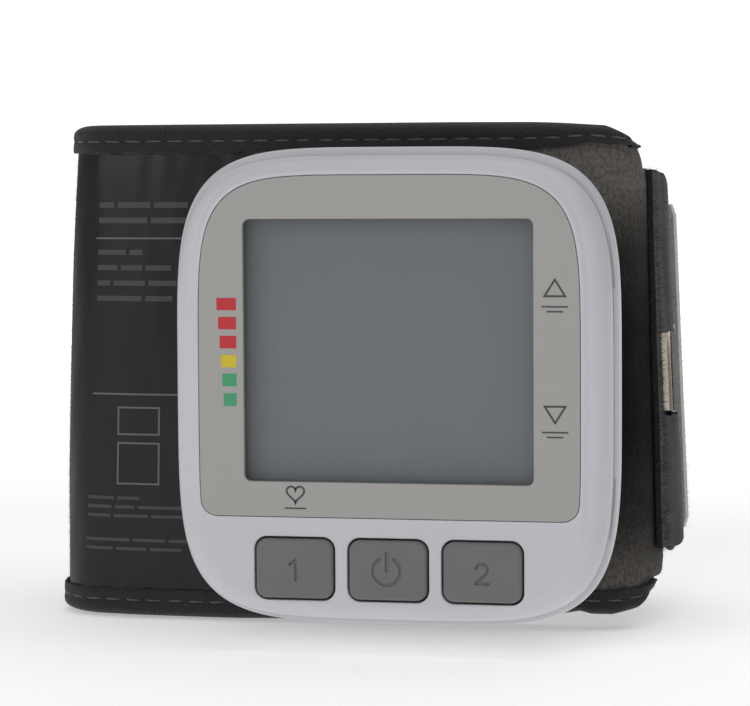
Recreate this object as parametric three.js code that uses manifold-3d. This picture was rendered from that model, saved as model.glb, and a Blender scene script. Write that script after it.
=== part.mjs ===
// A wrist blood pressure monitor: a display unit with three keys on a padded wrist cuff, whose strap
// runs through a wire ring and folds back on itself.
// Millimetres. X runs to the right, Y from the display back through the wrist space, and Z up.
// Every place is first given from the middle of the display window, on the face of the panel.
import * as THREE from "three";
import { mergeVertices } from "three/addons/utils/BufferGeometryUtils.js";
import Module from "manifold-3d";

const wasm = await Module();
wasm.setup();

// Clearances and tools
const gap = 0.3;
const overrun = 2;
const weldDistance = 0.0001;
const shownSides = 40;
const hiddenSides = 24;

// The case
const caseHalfWidth = 33.1;
const caseHalfHeight = 35;
const caseCentreZ = -5.5;
const caseDepth = 28;
const caseRoundness = 4.6;
const caseWall = 1.4;
const partingDepth = 4;
const sideStep = 0.75;
const topStep = 1.7;
const bottomStep = 1;
const rimWidth = 3.9;
const rimHeight = 3.4;
const rearInset = 9.5;
const faceThickness = 2.4;
const tongueLength = 1.4;
const tongueThickness = 0.5;

// The panel, the window and the display
const panelHalfWidth = 28.4;
const panelHalfHeight = 30.9;
const panelRoundness = 5.3;
const panelBottomZ = -24.2;
const panelCorner = 3.8;
const panelThickness = 0.8;
const panelSideBand = 7.02;
const panelTopBand = 6.3;
const windowCorner = 1;
const lensLap = 0.3;
const lensThickness = 0.8;
const glassSideLap = 1.62;
const glassEndLap = 1.3;
const glassThickness = 1.8;
const holderWall = 0.7;
const holderLip = 0.8;
const connectorInset = 3;
const connectorHeight = 1.8;

// The circuit board and what it carries
const boardFront = 7.5;
const boardThickness = 1.2;
const boardHalfWidth = 28.3;
const boardTopZ = 17.2;
const boardBottomZ = -28.2;
const boardTabHalfWidth = 16;
const boardTabTopZ = 24.2;
const boardFootHalfWidth = 20.8;
const boardFootBottomZ = -36.2;
const boardScrewX = 26.8;
const boardScrewZ = -21;
const boardScrewHeadRadius = 1.5;
const boardScrewHeadHeight = 0.8;
const boardBossRadius = 1.9;
const chipHeight = 0.8;
const chipSize = 10;
const chipX = -11;
const chipZ = 7;
const buzzerRadius = 4.5;
const buzzerHeight = 2;
const buzzerX = -10;
const buzzerZ = -31.4;

// The keys and their switches
const keyOpeningWidth = 12.06;
const keyOpeningHeight = 9.3;
const keyOpeningCorner = 1.87;
const keyPitch = 13.9;
const keyCentreZ = -31.76;
const keyRise = 0.4;
const keyEdge = 0.5;
const keyFlangeLip = 0.45;
const keyFlangeThickness = 0.8;
const keyTravel = 0.5;
const switchWidth = 6;
const stemRadius = 1.7;
const stemLength = 1.9;

// The screws
const screwRadius = 0.85;
const caseScrewHeadRadius = 1.6;
const caseScrewHeadHeight = 1.2;
const caseBossRadius = 2.1;
const caseBossLength = 10.3;
const caseScrewUpperX = 19.5;
const caseScrewRise = 3.5;
const caseScrewLowerX = 24.9;
const caseScrewLowerZ = -31.1;
const columnRadius = 3;
const columnFloor = 1.5;
const cuffScrewX = 16;
const cuffScrewUpperZ = 12;
const cuffScrewLowerZ = -27;
const cuffScrewHeadRadius = 1.9;
const cuffScrewHeadHeight = 0.6;
const cuffBossRadius = 2.2;
const cuffBossLength = 3.4;

// The cells and their compartment
const cellLength = 44.5;
const cellRadius = 5.25;
const cellNubLength = 1;
const cellNubRadius = 1.9;
const cellPitch = 11;
const cellCentreZ = 7.15;
const cellLeftX = -27.6;
const trayWall = 0.8;
const trayLeftX = -23.2;
const trayRibWidth = 15;
const trayRibHeight = 4;
const contactThickness = 0.4;
const contactSize = 4.4;
const springLength = 3.8;
const springRadius = 1.9;
const springWireRadius = 0.3;
const springTurns = 3;
const doorFrontY = 6.9;
const doorBackY = 23.3;
const doorTopZ = 18.35;
const doorBottomZ = -4.05;
const openingReachX = -26.5;

// The pump and the air line
const pumpY = 17.5;
const pumpZ = -17.5;
const motorLeftX = -25.5;
const motorLength = 16;
const motorRadius = 6;
const saddleThickness = 1.5;
const pumpHeadLength = 12;
const pumpHeadSize = 13.4;
const nozzleRadius = 1;
const nozzleLength = 2.4;
const tubeWall = 0.9;
const manifoldSize = 5;
const valveLength = 8;
const valveSize = 8;
const sensorSize = 7;
const sensorHeight = 1.6;
const inletFlangeRadius = 4;
const inletFlangeThickness = 0.6;
const inletFrontY = 22.5;

// The cuff, whose outside follows a path seen from above
const cuffTopZ = 33.3;
const cuffBottomZ = -44;
const loopHalfWidth = 46.95;
const loopCentreX = -13.55;
const loopDepth = 49.1;
const loopFlare = 0.03;
const velourThickness = 0.7;
const velourCrown = 0.6;
const splintThickness = 0.7;
const bladderThickness = 1;
const liningThickness = 0.6;
const liningCrown = 0.8;
const liningEndDepth = 2.7;
const liningDepth = 4.2;
const bindingThickness = 0.6;
const bindingHeight = 4.4;
const splintMargin = 7;
const bladderMargin = 10;
const filmThickness = 0.25;

// The ring, its tab and the strap
const wireRadius = 0.8;
const barSpread = 8.5;
const frontBarShare = 0.4827;
const ringTopZ = 24.4;
const ringBottomZ = -34.2;
const ringCorner = 1.5;
const tabThickness = 0.9;
const tabTopZ = 25.2;
const tabBottomZ = -35;
const tabFrontShare = 0.2281;
const tabBendShare = 0.3483;
const tabOutset = 0.4;
const tabInset = 3.7;
const sleeveThickness = 0.3;
const sleeveTopZ = 0.2;
const sleeveBottomZ = -12.4;
const notchFrontShare = 0.18;
const strapThickness = 1.4;
const strapTopZ = 20.2;
const strapBottomZ = -32;
const hookThickness = 0.8;
const hookMargin = 3;
const tipLength = 6;
const tipThickness = 0.5;

// Sizes and places worked out from those above
const cuffY = caseDepth + gap;
const frontBarX = loopCentreX + loopHalfWidth;
const frontBarY = cuffY + frontBarShare * loopDepth;
const rearBarX = frontBarX - gap;
const rearBarY = frontBarY + barSpread;
const tabFrontY = cuffY + tabFrontShare * loopDepth;
// The notch runs far forward in the tab's outer leg, so that the sleeve shows.
const notchFrontY = tabFrontY + notchFrontShare * (frontBarY - tabFrontY);
const tabInsideBendY = cuffY + tabBendShare * loopDepth;
const tabCuffX = frontBarX + tabOutset;
const tabInsideX = frontBarX - tabInset;
const windowWidth = 2 * (panelHalfWidth - panelSideBand);
const windowHeight = 2 * (caseCentreZ + panelHalfHeight - panelTopBand);
const glassWidth = windowWidth + 2 * glassSideLap;
const glassHeight = windowHeight + 2 * glassEndLap;
const connectorLength = glassWidth - 2 * connectorInset;
const caseScrewUpperZ = glassHeight / 2 + caseScrewRise;
const lensFront = panelThickness + gap;
const holderFront = faceThickness + gap;
const glassFront = holderFront + holderLip + gap;
const boardRear = boardFront + boardThickness;
const keyFlangeFront = faceThickness + gap;
const keyFlangeBack = keyFlangeFront + keyFlangeThickness;
const switchFront = keyFlangeBack + keyTravel + gap;
const stemEnd = keyFlangeBack + stemLength;
const bossEnd = faceThickness + caseBossLength;
const columnFloorFront = bossEnd + gap;
const columnFloorBack = columnFloorFront + columnFloor;
const innerBack = caseDepth - caseWall;
const cellCentreY = boardRear + gap + chipHeight + boardScrewHeadHeight / 2 + trayWall + gap + cellRadius;
const trayHalfDepth = cellRadius + gap + trayWall;
const trayHalfHeight = cellPitch / 2 + trayHalfDepth;
const rightContactX = cellLeftX + cellLength + gap + springLength + gap;
const trayRightX = rightContactX + contactThickness + gap + trayWall;
const doorContactX = cellLeftX - gap - contactThickness;
const tubeInner = nozzleRadius + gap;
const tubeOuter = tubeInner + tubeWall;
const headLeftX = motorLeftX + motorLength + gap;
const headRightX = headLeftX + pumpHeadLength;
const manifoldLeftX = headRightX + 2 * nozzleLength + gap;
const manifoldX = manifoldLeftX + manifoldSize / 2;
const valveLeftX = manifoldLeftX + manifoldSize + 2 * nozzleLength + gap;
const layerTop = bindingThickness + gap;
const splintDepth = velourThickness + gap;
const cuffScrewHeadY = cuffY + splintDepth + splintThickness + gap;
const bladderDepth = splintDepth + splintThickness + gap + cuffScrewHeadHeight + gap;
const tunnelBore = wireRadius + gap;
const tunnelRadius = tunnelBore + tabThickness;
const foldRadius = wireRadius + gap + strapThickness / 2;

// Colours and finishes, as [colour, roughness, metalness]
const finishes = {
  white_plastic: ["#dcdce2", 0.35, 0],
  panel_print: ["#b9b8b2", 0.5, 0],
  clear: ["#aeb6b8", 0.1, 0],
  display: ["#7d888b", 0.25, 0],
  key_plastic: ["#7c7c79", 0.5, 0],
  grey_plastic: ["#8f9194", 0.6, 0],
  black_plastic: ["#26272a", 0.6, 0],
  board_green: ["#2e6a48", 0.5, 0],
  bright_metal: ["#c3b8a8", 0.3, 1],
  steel: ["#9a9da1", 0.4, 1],
  cell_wrap: ["#3d5a80", 0.4, 0.2],
  rubber: ["#3a3b3e", 0.8, 0],
  velour: ["#4b4a48", 0.95, 0],
  lining: ["#3c3d42", 0.9, 0],
  woven_black: ["#2a2a2d", 0.85, 0],
  plush: ["#96968f", 0.95, 0],
  black_wire: ["#232427", 0.4, 0.6],
  hook_plastic: ["#3a3a3d", 0.7, 0],
};

// Geometry helpers

// A closed body from points and triangles, turned the right way out.
function body(points, triangles) {
  const positions = new Float32Array(points.flatMap((p) => [p.x, p.y, p.z]));
  let volume = 0;
  for (const [a, b, c] of triangles)
    volume += points[a].dot(points[b].clone().cross(points[c]));
  const facing = volume < 0 ? triangles.map(([a, b, c]) => [a, c, b]) : triangles;
  const geometry = new THREE.BufferGeometry();
  geometry.setAttribute("position", new THREE.BufferAttribute(positions, 3));
  geometry.setIndex(facing.flat());
  return geometry;
}

// A skin over loops of equally many points. The outline is the first loop's shape, drawn flat.
function skin(loops, outline, closed = false) {
  const count = outline.length;
  const triangles = [];
  const bands = closed ? loops.length : loops.length - 1;
  for (let r = 0; r < bands; r++) {
    const here = r * count;
    const next = ((r + 1) % loops.length) * count;
    for (let i = 0; i < count; i++) {
      const j = (i + 1) % count;
      triangles.push([here + i, here + j, next + j], [here + i, next + j, next + i]);
    }
  }
  if (!closed) {
    const faces = THREE.ShapeUtils.triangulateShape(outline, []);
    const turned = THREE.ShapeUtils.isClockWise(outline);
    const last = (loops.length - 1) * count;
    for (const [a, b, c] of faces) {
      const [p, q, r] = turned ? [c, b, a] : [a, b, c];
      triangles.push([r, q, p], [last + p, last + q, last + r]);
    }
  }
  return body(loops.flat(), triangles);
}

function solid(geometry) {
  const plain = geometry.clone();
  plain.deleteAttribute("normal");
  plain.deleteAttribute("uv");
  const merged = mergeVertices(plain, weldDistance);
  return new wasm.Manifold(
    new wasm.Mesh({
      numProp: 3,
      vertProperties: merged.attributes.position.array,
      triVerts: new Uint32Array(merged.index.array),
    }),
  );
}

function geometryOf(manifold) {
  const mesh = manifold.getMesh();
  const geometry = new THREE.BufferGeometry();
  geometry.setAttribute("position", new THREE.BufferAttribute(mesh.vertProperties, 3));
  geometry.setIndex(new THREE.BufferAttribute(mesh.triVerts, 1));
  return geometry;
}

const join = (...pieces) => geometryOf(pieces.map(solid).reduce((a, b) => a.add(b)));
const cut = (work, ...tools) => geometryOf(tools.map(solid).reduce((a, b) => a.subtract(b), solid(work)));
const common = (a, b) => geometryOf(solid(a).intersect(solid(b)));

function block([x0, x1], [y0, y1], [z0, z1]) {
  const geometry = new THREE.BoxGeometry(x1 - x0, y1 - y0, z1 - z0);
  return geometry.translate((x0 + x1) / 2, (y0 + y1) / 2, (z0 + z1) / 2);
}

// A round bar along Y, along X or upright.
function barY(x, z, y0, y1, radius, sides = 16) {
  const geometry = new THREE.CylinderGeometry(radius, radius, y1 - y0, sides);
  return geometry.translate(x, (y0 + y1) / 2, z);
}

function barX(y, z, x0, x1, radius, sides = 16) {
  const geometry = new THREE.CylinderGeometry(radius, radius, x1 - x0, sides);
  return geometry.rotateZ(Math.PI / 2).translate((x0 + x1) / 2, y, z);
}

const pipeY = (x, z, y0, y1, inner, outer) =>
  cut(barY(x, z, y0, y1, outer), barY(x, z, y0 - overrun, y1 + overrun, inner));
const pipeX = (y, z, x0, x1, inner, outer) =>
  cut(barX(y, z, x0, x1, outer), barX(y, z, x0 - overrun, x1 + overrun, inner));

// A plate drawn in X and Z, between two depths.
function plate(outline, y0, y1) {
  const geometry = new THREE.ExtrudeGeometry(new THREE.Shape(outline), { depth: y1 - y0, bevelEnabled: false });
  return geometry.rotateX(Math.PI / 2).translate(0, y1, 0);
}

// The outline of a rectangle with round corners.
function roundedRectangle(width, height, corner, centreX = 0, centreZ = 0, steps = 4) {
  const points = [];
  for (let quarter = 0; quarter < 4; quarter++) {
    const right = quarter === 0 || quarter === 3 ? 1 : -1;
    const up = quarter < 2 ? 1 : -1;
    for (let step = 0; step <= steps; step++) {
      const angle = (quarter + step / steps) * (Math.PI / 2);
      const x = centreX + right * (width / 2 - corner) + corner * Math.cos(angle);
      const z = centreZ + up * (height / 2 - corner) + corner * Math.sin(angle);
      points.push(new THREE.Vector2(x, z));
    }
  }
  return points;
}

// The rounded oval of the case, from a superellipse.
function oval(halfWidth, topZ, bottomZ, roundness, count) {
  const centreZ = (topZ + bottomZ) / 2;
  const halfHeight = (topZ - bottomZ) / 2;
  const bulge = (value) => Math.sign(value) * Math.abs(value) ** (2 / roundness);
  const points = [];
  for (let i = 0; i < count; i++) {
    const angle = ((i + 0.5) / count) * 2 * Math.PI;
    const x = halfWidth * bulge(Math.cos(angle));
    const z = centreZ + halfHeight * bulge(Math.sin(angle));
    points.push(new THREE.Vector2(x, z));
  }
  return points;
}

function ovalLoft(rings, sides = hiddenSides) {
  const outlines = rings.map((ring) => oval(ring.halfWidth, ring.topZ, ring.bottomZ, caseRoundness, sides));
  const loops = outlines.map((outline, i) => outline.map((p) => new THREE.Vector3(p.x, rings[i].y, p.y)));
  return skin(loops, outlines[0]);
}

const ringAt = (y, side, top, bottom) => ({
  y,
  halfWidth: caseHalfWidth - side,
  topZ: caseCentreZ + caseHalfHeight - top,
  bottomZ: caseCentreZ - caseHalfHeight + bottom,
});

// The front of the case: how far each ring lies from the parting line, as shares of depth and rim.
const rimShares = [
  [0, 1],
  [0.06, 0.72],
  [0.22, 0.42],
  [0.47, 0.2],
  [0.75, 0.06],
  [1, 0],
];
const frontRings = rimShares.map(([depthShare, insetShare]) =>
  ringAt(
    partingDepth * depthShare,
    sideStep + insetShare * (rimWidth - sideStep),
    topStep + insetShare * (rimHeight - topStep),
    bottomStep + insetShare * (rimHeight - bottomStep),
  ),
);
const rearStart = partingDepth + gap;

// The back of the case, as shares of its depth and of how far it draws in.
const rearShares = [
  [0.035, 0],
  [0.08, 0],
  [0.16, 0.02],
  [0.32, 0.07],
  [0.49, 0.14],
  [0.66, 0.26],
  [0.8, 0.42],
  [0.9, 0.62],
  [0.97, 0.85],
  [1, 1],
];
const stepShares = [0.25, 0.04];
function rearRings(start, end, wall) {
  const first = ringAt(start, sideStep + wall, topStep + wall, bottomStep + wall);
  const rest = rearShares.map(([depthShare, insetShare], i) => {
    const step = stepShares[i] ?? 0;
    const inset = insetShare * rearInset + wall;
    const y = start + depthShare * (end - start);
    return ringAt(y, inset + step * sideStep, inset + step * topStep, inset + step * bottomStep);
  });
  return [first, ...rest];
}

const frontCavityRing = (y) => ringAt(y, sideStep + caseWall, topStep + caseWall, bottomStep + caseWall);
const shellOuter = () => ovalLoft(rearRings(rearStart, caseDepth, 0), shownSides);
const shellInner = () => {
  const rings = rearRings(rearStart, innerBack, caseWall);
  return ovalLoft([{ ...rings[0], y: rearStart - overrun }, ...rings]);
};

const keyXs = [-keyPitch, 0, keyPitch];
const keyOutline = (x, grow) =>
  roundedRectangle(
    keyOpeningWidth + 2 * grow,
    keyOpeningHeight + 2 * grow,
    keyOpeningCorner + grow,
    x,
    keyCentreZ,
  );
const windowOutline = (grow) =>
  roundedRectangle(windowWidth + 2 * grow, windowHeight + 2 * grow, windowCorner + Math.max(grow, 0));
const caseScrewPlaces = [
  [-caseScrewUpperX, caseScrewUpperZ],
  [caseScrewUpperX, caseScrewUpperZ],
  [-caseScrewLowerX, caseScrewLowerZ],
  [caseScrewLowerX, caseScrewLowerZ],
];
const boardScrewPlaces = [
  [-boardScrewX, boardScrewZ],
  [boardScrewX, boardScrewZ],
];
const cuffScrewPlaces = [
  [-cuffScrewX, cuffScrewUpperZ],
  [cuffScrewX, cuffScrewUpperZ],
  [-cuffScrewX, cuffScrewLowerZ],
  [cuffScrewX, cuffScrewLowerZ],
];

// The panel's outline: an oval whose foot is cut straight, with round corners.
function panelOutline(grow) {
  const bottom = panelBottomZ - grow;
  const corner = panelCorner + grow;
  const halfWidth = panelHalfWidth + grow;
  const halfHeight = panelHalfHeight + grow;
  const cornerZ = bottom + corner;
  const share = Math.abs((cornerZ - caseCentreZ) / halfHeight) ** panelRoundness;
  const cornerX = halfWidth * (1 - share) ** (1 / panelRoundness);
  const above = oval(halfWidth, caseCentreZ + halfHeight, caseCentreZ - halfHeight, panelRoundness, shownSides)
    .filter((p) => p.y > cornerZ + weldDistance)
    .sort((p, q) => panelAngle(p) - panelAngle(q));
  const leftArc = [];
  const rightArc = [];
  const steps = 5;
  for (let step = 0; step <= steps; step++) {
    const angle = (step / steps) * (Math.PI / 2);
    const z = cornerZ - corner * Math.sin(angle);
    const x = cornerX - corner + corner * Math.cos(angle);
    leftArc.push(new THREE.Vector2(-x, z));
    rightArc.unshift(new THREE.Vector2(x, z));
  }
  return [...above, ...leftArc, ...rightArc];
}

// The turn of a point about the panel's middle, from the lower right corner anticlockwise.
function panelAngle(point) {
  const angle = Math.atan2(point.y - caseCentreZ, point.x);
  return angle < -Math.PI / 2 ? angle + 2 * Math.PI : angle;
}

// The display unit's pieces

function frontHousing() {
  const cavityStart = { ...frontCavityRing(faceThickness) };
  const cavityEnd = { ...frontCavityRing(partingDepth + tongueLength + gap + overrun) };
  const cavity = ovalLoft([cavityStart, cavityEnd]);
  const tongueInset = caseWall - tongueThickness;
  const tongueRing = (y) => ringAt(y, sideStep + tongueInset, topStep + tongueInset, bottomStep + tongueInset);
  const tongue = ovalLoft([tongueRing(partingDepth / 2), tongueRing(partingDepth + tongueLength)]);
  const shell = cut(join(ovalLoft(frontRings, shownSides), tongue), cavity);
  const bosses = [
    ...caseScrewPlaces.map(([x, z]) => barY(x, z, faceThickness / 2 + gap, bossEnd, caseBossRadius)),
    ...boardScrewPlaces.map(([x, z]) => barY(x, z, faceThickness / 2 + gap, boardFront - gap, boardBossRadius)),
  ];
  const bores = [
    ...caseScrewPlaces.map(([x, z]) => barY(x, z, boardFront - gap, bossEnd + overrun, screwRadius + gap, 12)),
    ...boardScrewPlaces.map(([x, z]) =>
      barY(x, z, faceThickness + caseWall, boardFront + overrun, screwRadius + gap, 12),
    ),
  ];
  const keyHoles = keyXs.map((x) => plate(keyOutline(x, 0), -overrun, faceThickness + overrun));
  return cut(
    join(shell, ...bosses),
    plate(panelOutline(gap), -overrun, panelThickness + gap),
    plate(windowOutline(lensLap + gap), 0, faceThickness + overrun),
    ...keyHoles,
    ...bores,
  );
}

const facePanel = () =>
  cut(plate(panelOutline(0), 0, panelThickness), plate(windowOutline(0), -overrun, panelThickness + overrun));

const displayLens = () => plate(windowOutline(lensLap), lensFront, lensFront + lensThickness);

const displayGlass = () =>
  block(
    [-glassWidth / 2, glassWidth / 2],
    [glassFront, glassFront + glassThickness],
    [-glassHeight / 2, glassHeight / 2],
  );

function displayHolder() {
  const halfWidth = glassWidth / 2 + gap;
  const halfHeight = glassHeight / 2 + gap;
  const back = boardFront - gap;
  const frame = block(
    [-halfWidth - holderWall, halfWidth + holderWall],
    [holderFront, back],
    [-halfHeight - holderWall, halfHeight + holderWall],
  );
  const pocket = block(
    [-halfWidth, halfWidth],
    [holderFront + holderLip, back + overrun],
    [-halfHeight, halfHeight],
  );
  return cut(frame, pocket, plate(windowOutline(lensLap + gap), holderFront - overrun, back + overrun));
}

const displayConnector = (z) =>
  block(
    [-connectorLength / 2, connectorLength / 2],
    [glassFront + glassThickness + gap, boardFront - gap],
    [z - connectorHeight / 2, z + connectorHeight / 2],
  );

function mainBoard() {
  const corners = [
    [boardFootHalfWidth, boardFootBottomZ],
    [boardFootHalfWidth, boardBottomZ],
    [boardHalfWidth, boardBottomZ],
    [boardHalfWidth, boardTopZ],
    [boardTabHalfWidth, boardTopZ],
    [boardTabHalfWidth, boardTabTopZ],
  ];
  const right = corners.map(([x, z]) => new THREE.Vector2(x, z));
  const left = right.map((p) => new THREE.Vector2(-p.x, p.y)).reverse();
  const holes = boardScrewPlaces.map(([x, z]) =>
    barY(x, z, boardFront - overrun, boardRear + overrun, screwRadius + gap, 12),
  );
  return cut(plate([...right, ...left], boardFront, boardRear), ...holes);
}

const mainChip = () =>
  block(
    [chipX - chipSize / 2, chipX + chipSize / 2],
    [boardRear + gap, boardRear + gap + chipHeight],
    [chipZ - chipSize / 2, chipZ + chipSize / 2],
  );

const buzzerDisc = () => barY(buzzerX, buzzerZ, boardRear + gap, boardRear + gap + buzzerHeight, buzzerRadius, 20);

function screwY(x, z, tipY, headY, headHeight, headRadius) {
  return join(
    barY(x, z, tipY, headY + headHeight / 2, screwRadius, 12),
    barY(x, z, headY, headY + headHeight, headRadius, 12),
  );
}

const boardScrew = (x, z) =>
  screwY(
    x,
    z,
    faceThickness + caseWall + gap,
    boardRear + gap,
    boardScrewHeadHeight,
    boardScrewHeadRadius,
  );

const caseScrew = (x, z) =>
  screwY(x, z, boardFront, columnFloorBack + gap, caseScrewHeadHeight, caseScrewHeadRadius);

// A key: a cap with a soft front edge, a flange that holds it behind the face, and a stem.
function keyCap(x) {
  const capBack = keyFlangeFront + keyFlangeThickness / 2;
  const capRings = [
    [-keyRise, gap + keyEdge],
    [-keyRise + keyEdge / 4, gap + keyEdge / 3],
    [-keyRise + keyEdge, gap],
    [capBack, gap],
  ];
  const outlines = capRings.map(([, inset]) => keyOutline(x, -inset));
  const loops = outlines.map((outline, i) => outline.map((p) => new THREE.Vector3(p.x, capRings[i][0], p.y)));
  const flange = plate(keyOutline(x, keyFlangeLip), keyFlangeFront, keyFlangeBack);
  const stem = barY(x, keyCentreZ, keyFlangeFront, stemEnd, stemRadius);
  return join(skin(loops, outlines[0]), flange, stem);
}

function keySwitch(x) {
  const half = switchWidth / 2;
  const box = block([x - half, x + half], [switchFront, boardFront - gap], [keyCentreZ - half, keyCentreZ + half]);
  return cut(box, barY(x, keyCentreZ, switchFront - overrun, stemEnd + keyTravel + gap, stemRadius + gap));
}

function rearHousing() {
  const rebateInset = caseWall - tongueThickness - gap;
  const rebateRing = (y) => ringAt(y, sideStep + rebateInset, topStep + rebateInset, bottomStep + rebateInset);
  const rebate = ovalLoft([rebateRing(rearStart - overrun), rebateRing(partingDepth + tongueLength + gap)]);
  const shell = cut(shellOuter(), shellInner(), rebate);
  const columns = caseScrewPlaces.map(([x, z]) => barY(x, z, columnFloorFront, caseDepth, columnRadius));
  const bossFront = innerBack - cuffBossLength;
  const wallMiddle = innerBack + caseWall / 2;
  const bosses = cuffScrewPlaces.map(([x, z]) => barY(x, z, bossFront, wallMiddle, cuffBossRadius));
  const saddle = (x) =>
    cut(
      block(
        [x - saddleThickness / 2, x + saddleThickness / 2],
        [pumpY + saddleThickness, wallMiddle],
        [pumpZ - motorRadius - saddleThickness, pumpZ + motorRadius + saddleThickness],
      ),
      barX(pumpY, pumpZ, x - saddleThickness, x + saddleThickness, motorRadius + gap, 20),
    );
  const headPad = block(
    [headLeftX + pumpHeadLength / 4, headRightX - pumpHeadLength / 4],
    [pumpY + pumpHeadSize / 2 + gap, wallMiddle],
    [pumpZ - pumpHeadSize / 4, pumpZ + pumpHeadSize / 4],
  );
  const valvePad = block(
    [valveLeftX + valveLength / 4, valveLeftX + (3 * valveLength) / 4],
    [pumpY + valveSize / 2 + gap, wallMiddle],
    [pumpZ - valveSize / 4, pumpZ + valveSize / 4],
  );
  const trayRib = block(
    [trayLeftX + trayRibWidth, trayLeftX + 2 * trayRibWidth],
    [cellCentreY + trayHalfDepth + gap, wallMiddle],
    [cellCentreZ - trayRibHeight / 2, cellCentreZ + trayRibHeight / 2],
  );
  const inside = [
    trayRib,
    saddle(motorLeftX + motorLength / 3),
    saddle(motorLeftX + (3 * motorLength) / 4),
    headPad,
    valvePad,
    ...columns,
    ...bosses,
  ];
  const full = common(join(shell, ...inside), shellOuter());
  const wells = caseScrewPlaces.map(([x, z]) =>
    barY(x, z, columnFloorBack, caseDepth + overrun, columnRadius - trayWall),
  );
  const screwHoles = caseScrewPlaces.map(([x, z]) =>
    barY(x, z, columnFloorFront - overrun, columnFloorBack + overrun, screwRadius + gap, 12),
  );
  const cuffHoles = cuffScrewPlaces.map(([x, z]) =>
    barY(x, z, bossFront + trayWall, caseDepth + overrun, screwRadius + gap, 12),
  );
  const inletHole = barY(manifoldX, pumpZ, innerBack - overrun, caseDepth + overrun, tubeOuter + gap);
  const doorway = block(
    [-caseHalfWidth - overrun, openingReachX],
    [doorFrontY - gap, doorBackY + gap],
    [doorBottomZ - gap, doorTopZ + gap],
  );
  return cut(full, ...wells, ...screwHoles, ...cuffHoles, inletHole, doorway);
}

// The compartment door: a piece of the case's side with a pad that carries its contact.
function batteryDoor() {
  const region = block(
    [-caseHalfWidth - overrun, openingReachX - gap],
    [doorFrontY, doorBackY],
    [doorBottomZ, doorTopZ],
  );
  const skinPiece = cut(common(shellOuter(), region), shellInner());
  const half = contactSize / 2 + gap;
  const depths = [cellCentreY - half, cellCentreY + half];
  const heights = [cellCentreZ - cellPitch / 2 - half, cellCentreZ + cellPitch / 2 + half];
  const padRightX = doorContactX - gap;
  const pad = common(block([padRightX - caseWall, padRightX], depths, heights), shellOuter());
  return cut(join(skinPiece, pad), block([padRightX, openingReachX + overrun], depths, heights));
}

const batteryTray = () =>
  cut(
    block(
      [trayLeftX, trayRightX],
      [cellCentreY - trayHalfDepth, cellCentreY + trayHalfDepth],
      [cellCentreZ - trayHalfHeight, cellCentreZ + trayHalfHeight],
    ),
    block(
      [trayLeftX - overrun, trayRightX - trayWall],
      [cellCentreY - trayHalfDepth + trayWall, cellCentreY + trayHalfDepth - trayWall],
      [cellCentreZ - trayHalfHeight + trayWall, cellCentreZ + trayHalfHeight - trayWall],
    ),
  );

// A cell with its nub at the left or at the right.
function cell(z, leftX, nubLeft) {
  const bodyLeft = nubLeft ? leftX + cellNubLength : leftX;
  const bodyRight = bodyLeft + cellLength - cellNubLength;
  const nub = nubLeft ? [leftX, bodyLeft + cellNubLength] : [bodyRight - cellNubLength, leftX + cellLength];
  return join(
    barX(cellCentreY, z, bodyLeft, bodyRight, cellRadius, 24),
    barX(cellCentreY, z, nub[0], nub[1], cellNubRadius, 12),
  );
}

const upperCellZ = cellCentreZ + cellPitch / 2;
const lowerCellZ = cellCentreZ - cellPitch / 2;
const lowerCellLeftX = cellLeftX + springLength + gap;

// A contact spring: an open coil along X.
function coil(z, x0, x1) {
  const stepsPerTurn = 8;
  const steps = springTurns * stepsPerTurn;
  const centres = [];
  for (let i = 0; i <= steps; i++) {
    const angle = (i / stepsPerTurn) * 2 * Math.PI;
    const x = x0 + springWireRadius + ((x1 - x0 - 2 * springWireRadius) * i) / steps;
    const y = cellCentreY + springRadius * Math.cos(angle);
    centres.push(new THREE.Vector3(x, y, z + springRadius * Math.sin(angle)));
  }
  return wire(centres, springWireRadius, 5, false);
}

// A round wire through points, each of its sections square to the run.
function wire(centres, radius, sides, closed) {
  const count = centres.length;
  const at = (i) => centres[closed ? (i + count) % count : Math.min(Math.max(i, 0), count - 1)];
  const guide = new THREE.Vector3(1, 0, 0);
  const loops = centres.map((centre, i) => {
    const run = at(i + 1).clone().sub(at(i - 1)).normalize();
    const across = guide.clone().cross(run).normalize();
    const over = run.clone().cross(across).normalize();
    return Array.from({ length: sides }, (_, k) => {
      const angle = (k / sides) * 2 * Math.PI;
      const offset = across.clone().multiplyScalar(radius * Math.cos(angle));
      return centre.clone().add(offset).addScaledVector(over, radius * Math.sin(angle));
    });
  });
  const outline = Array.from({ length: sides }, (_, k) => {
    const angle = (k / sides) * 2 * Math.PI;
    return new THREE.Vector2(Math.cos(angle), Math.sin(angle));
  });
  return skin(loops, outline, closed);
}

const contactPlate = (x, z0, z1) =>
  block([x, x + contactThickness], [cellCentreY - contactSize / 2, cellCentreY + contactSize / 2], [z0, z1]);

const cellContact = (z) => contactPlate(rightContactX, z - contactSize / 2, z + contactSize / 2);

const doorContact = () =>
  contactPlate(doorContactX, lowerCellZ - contactSize / 2, upperCellZ + contactSize / 2);

const pumpMotor = () => barX(pumpY, pumpZ, motorLeftX, motorLeftX + motorLength, motorRadius, 20);

function pumpHead() {
  const half = pumpHeadSize / 2;
  const box = block([headLeftX, headRightX], [pumpY - half, pumpY + half], [pumpZ - half, pumpZ + half]);
  return join(box, barX(pumpY, pumpZ, headRightX - nozzleRadius, headRightX + nozzleLength, nozzleRadius, 10));
}

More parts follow.
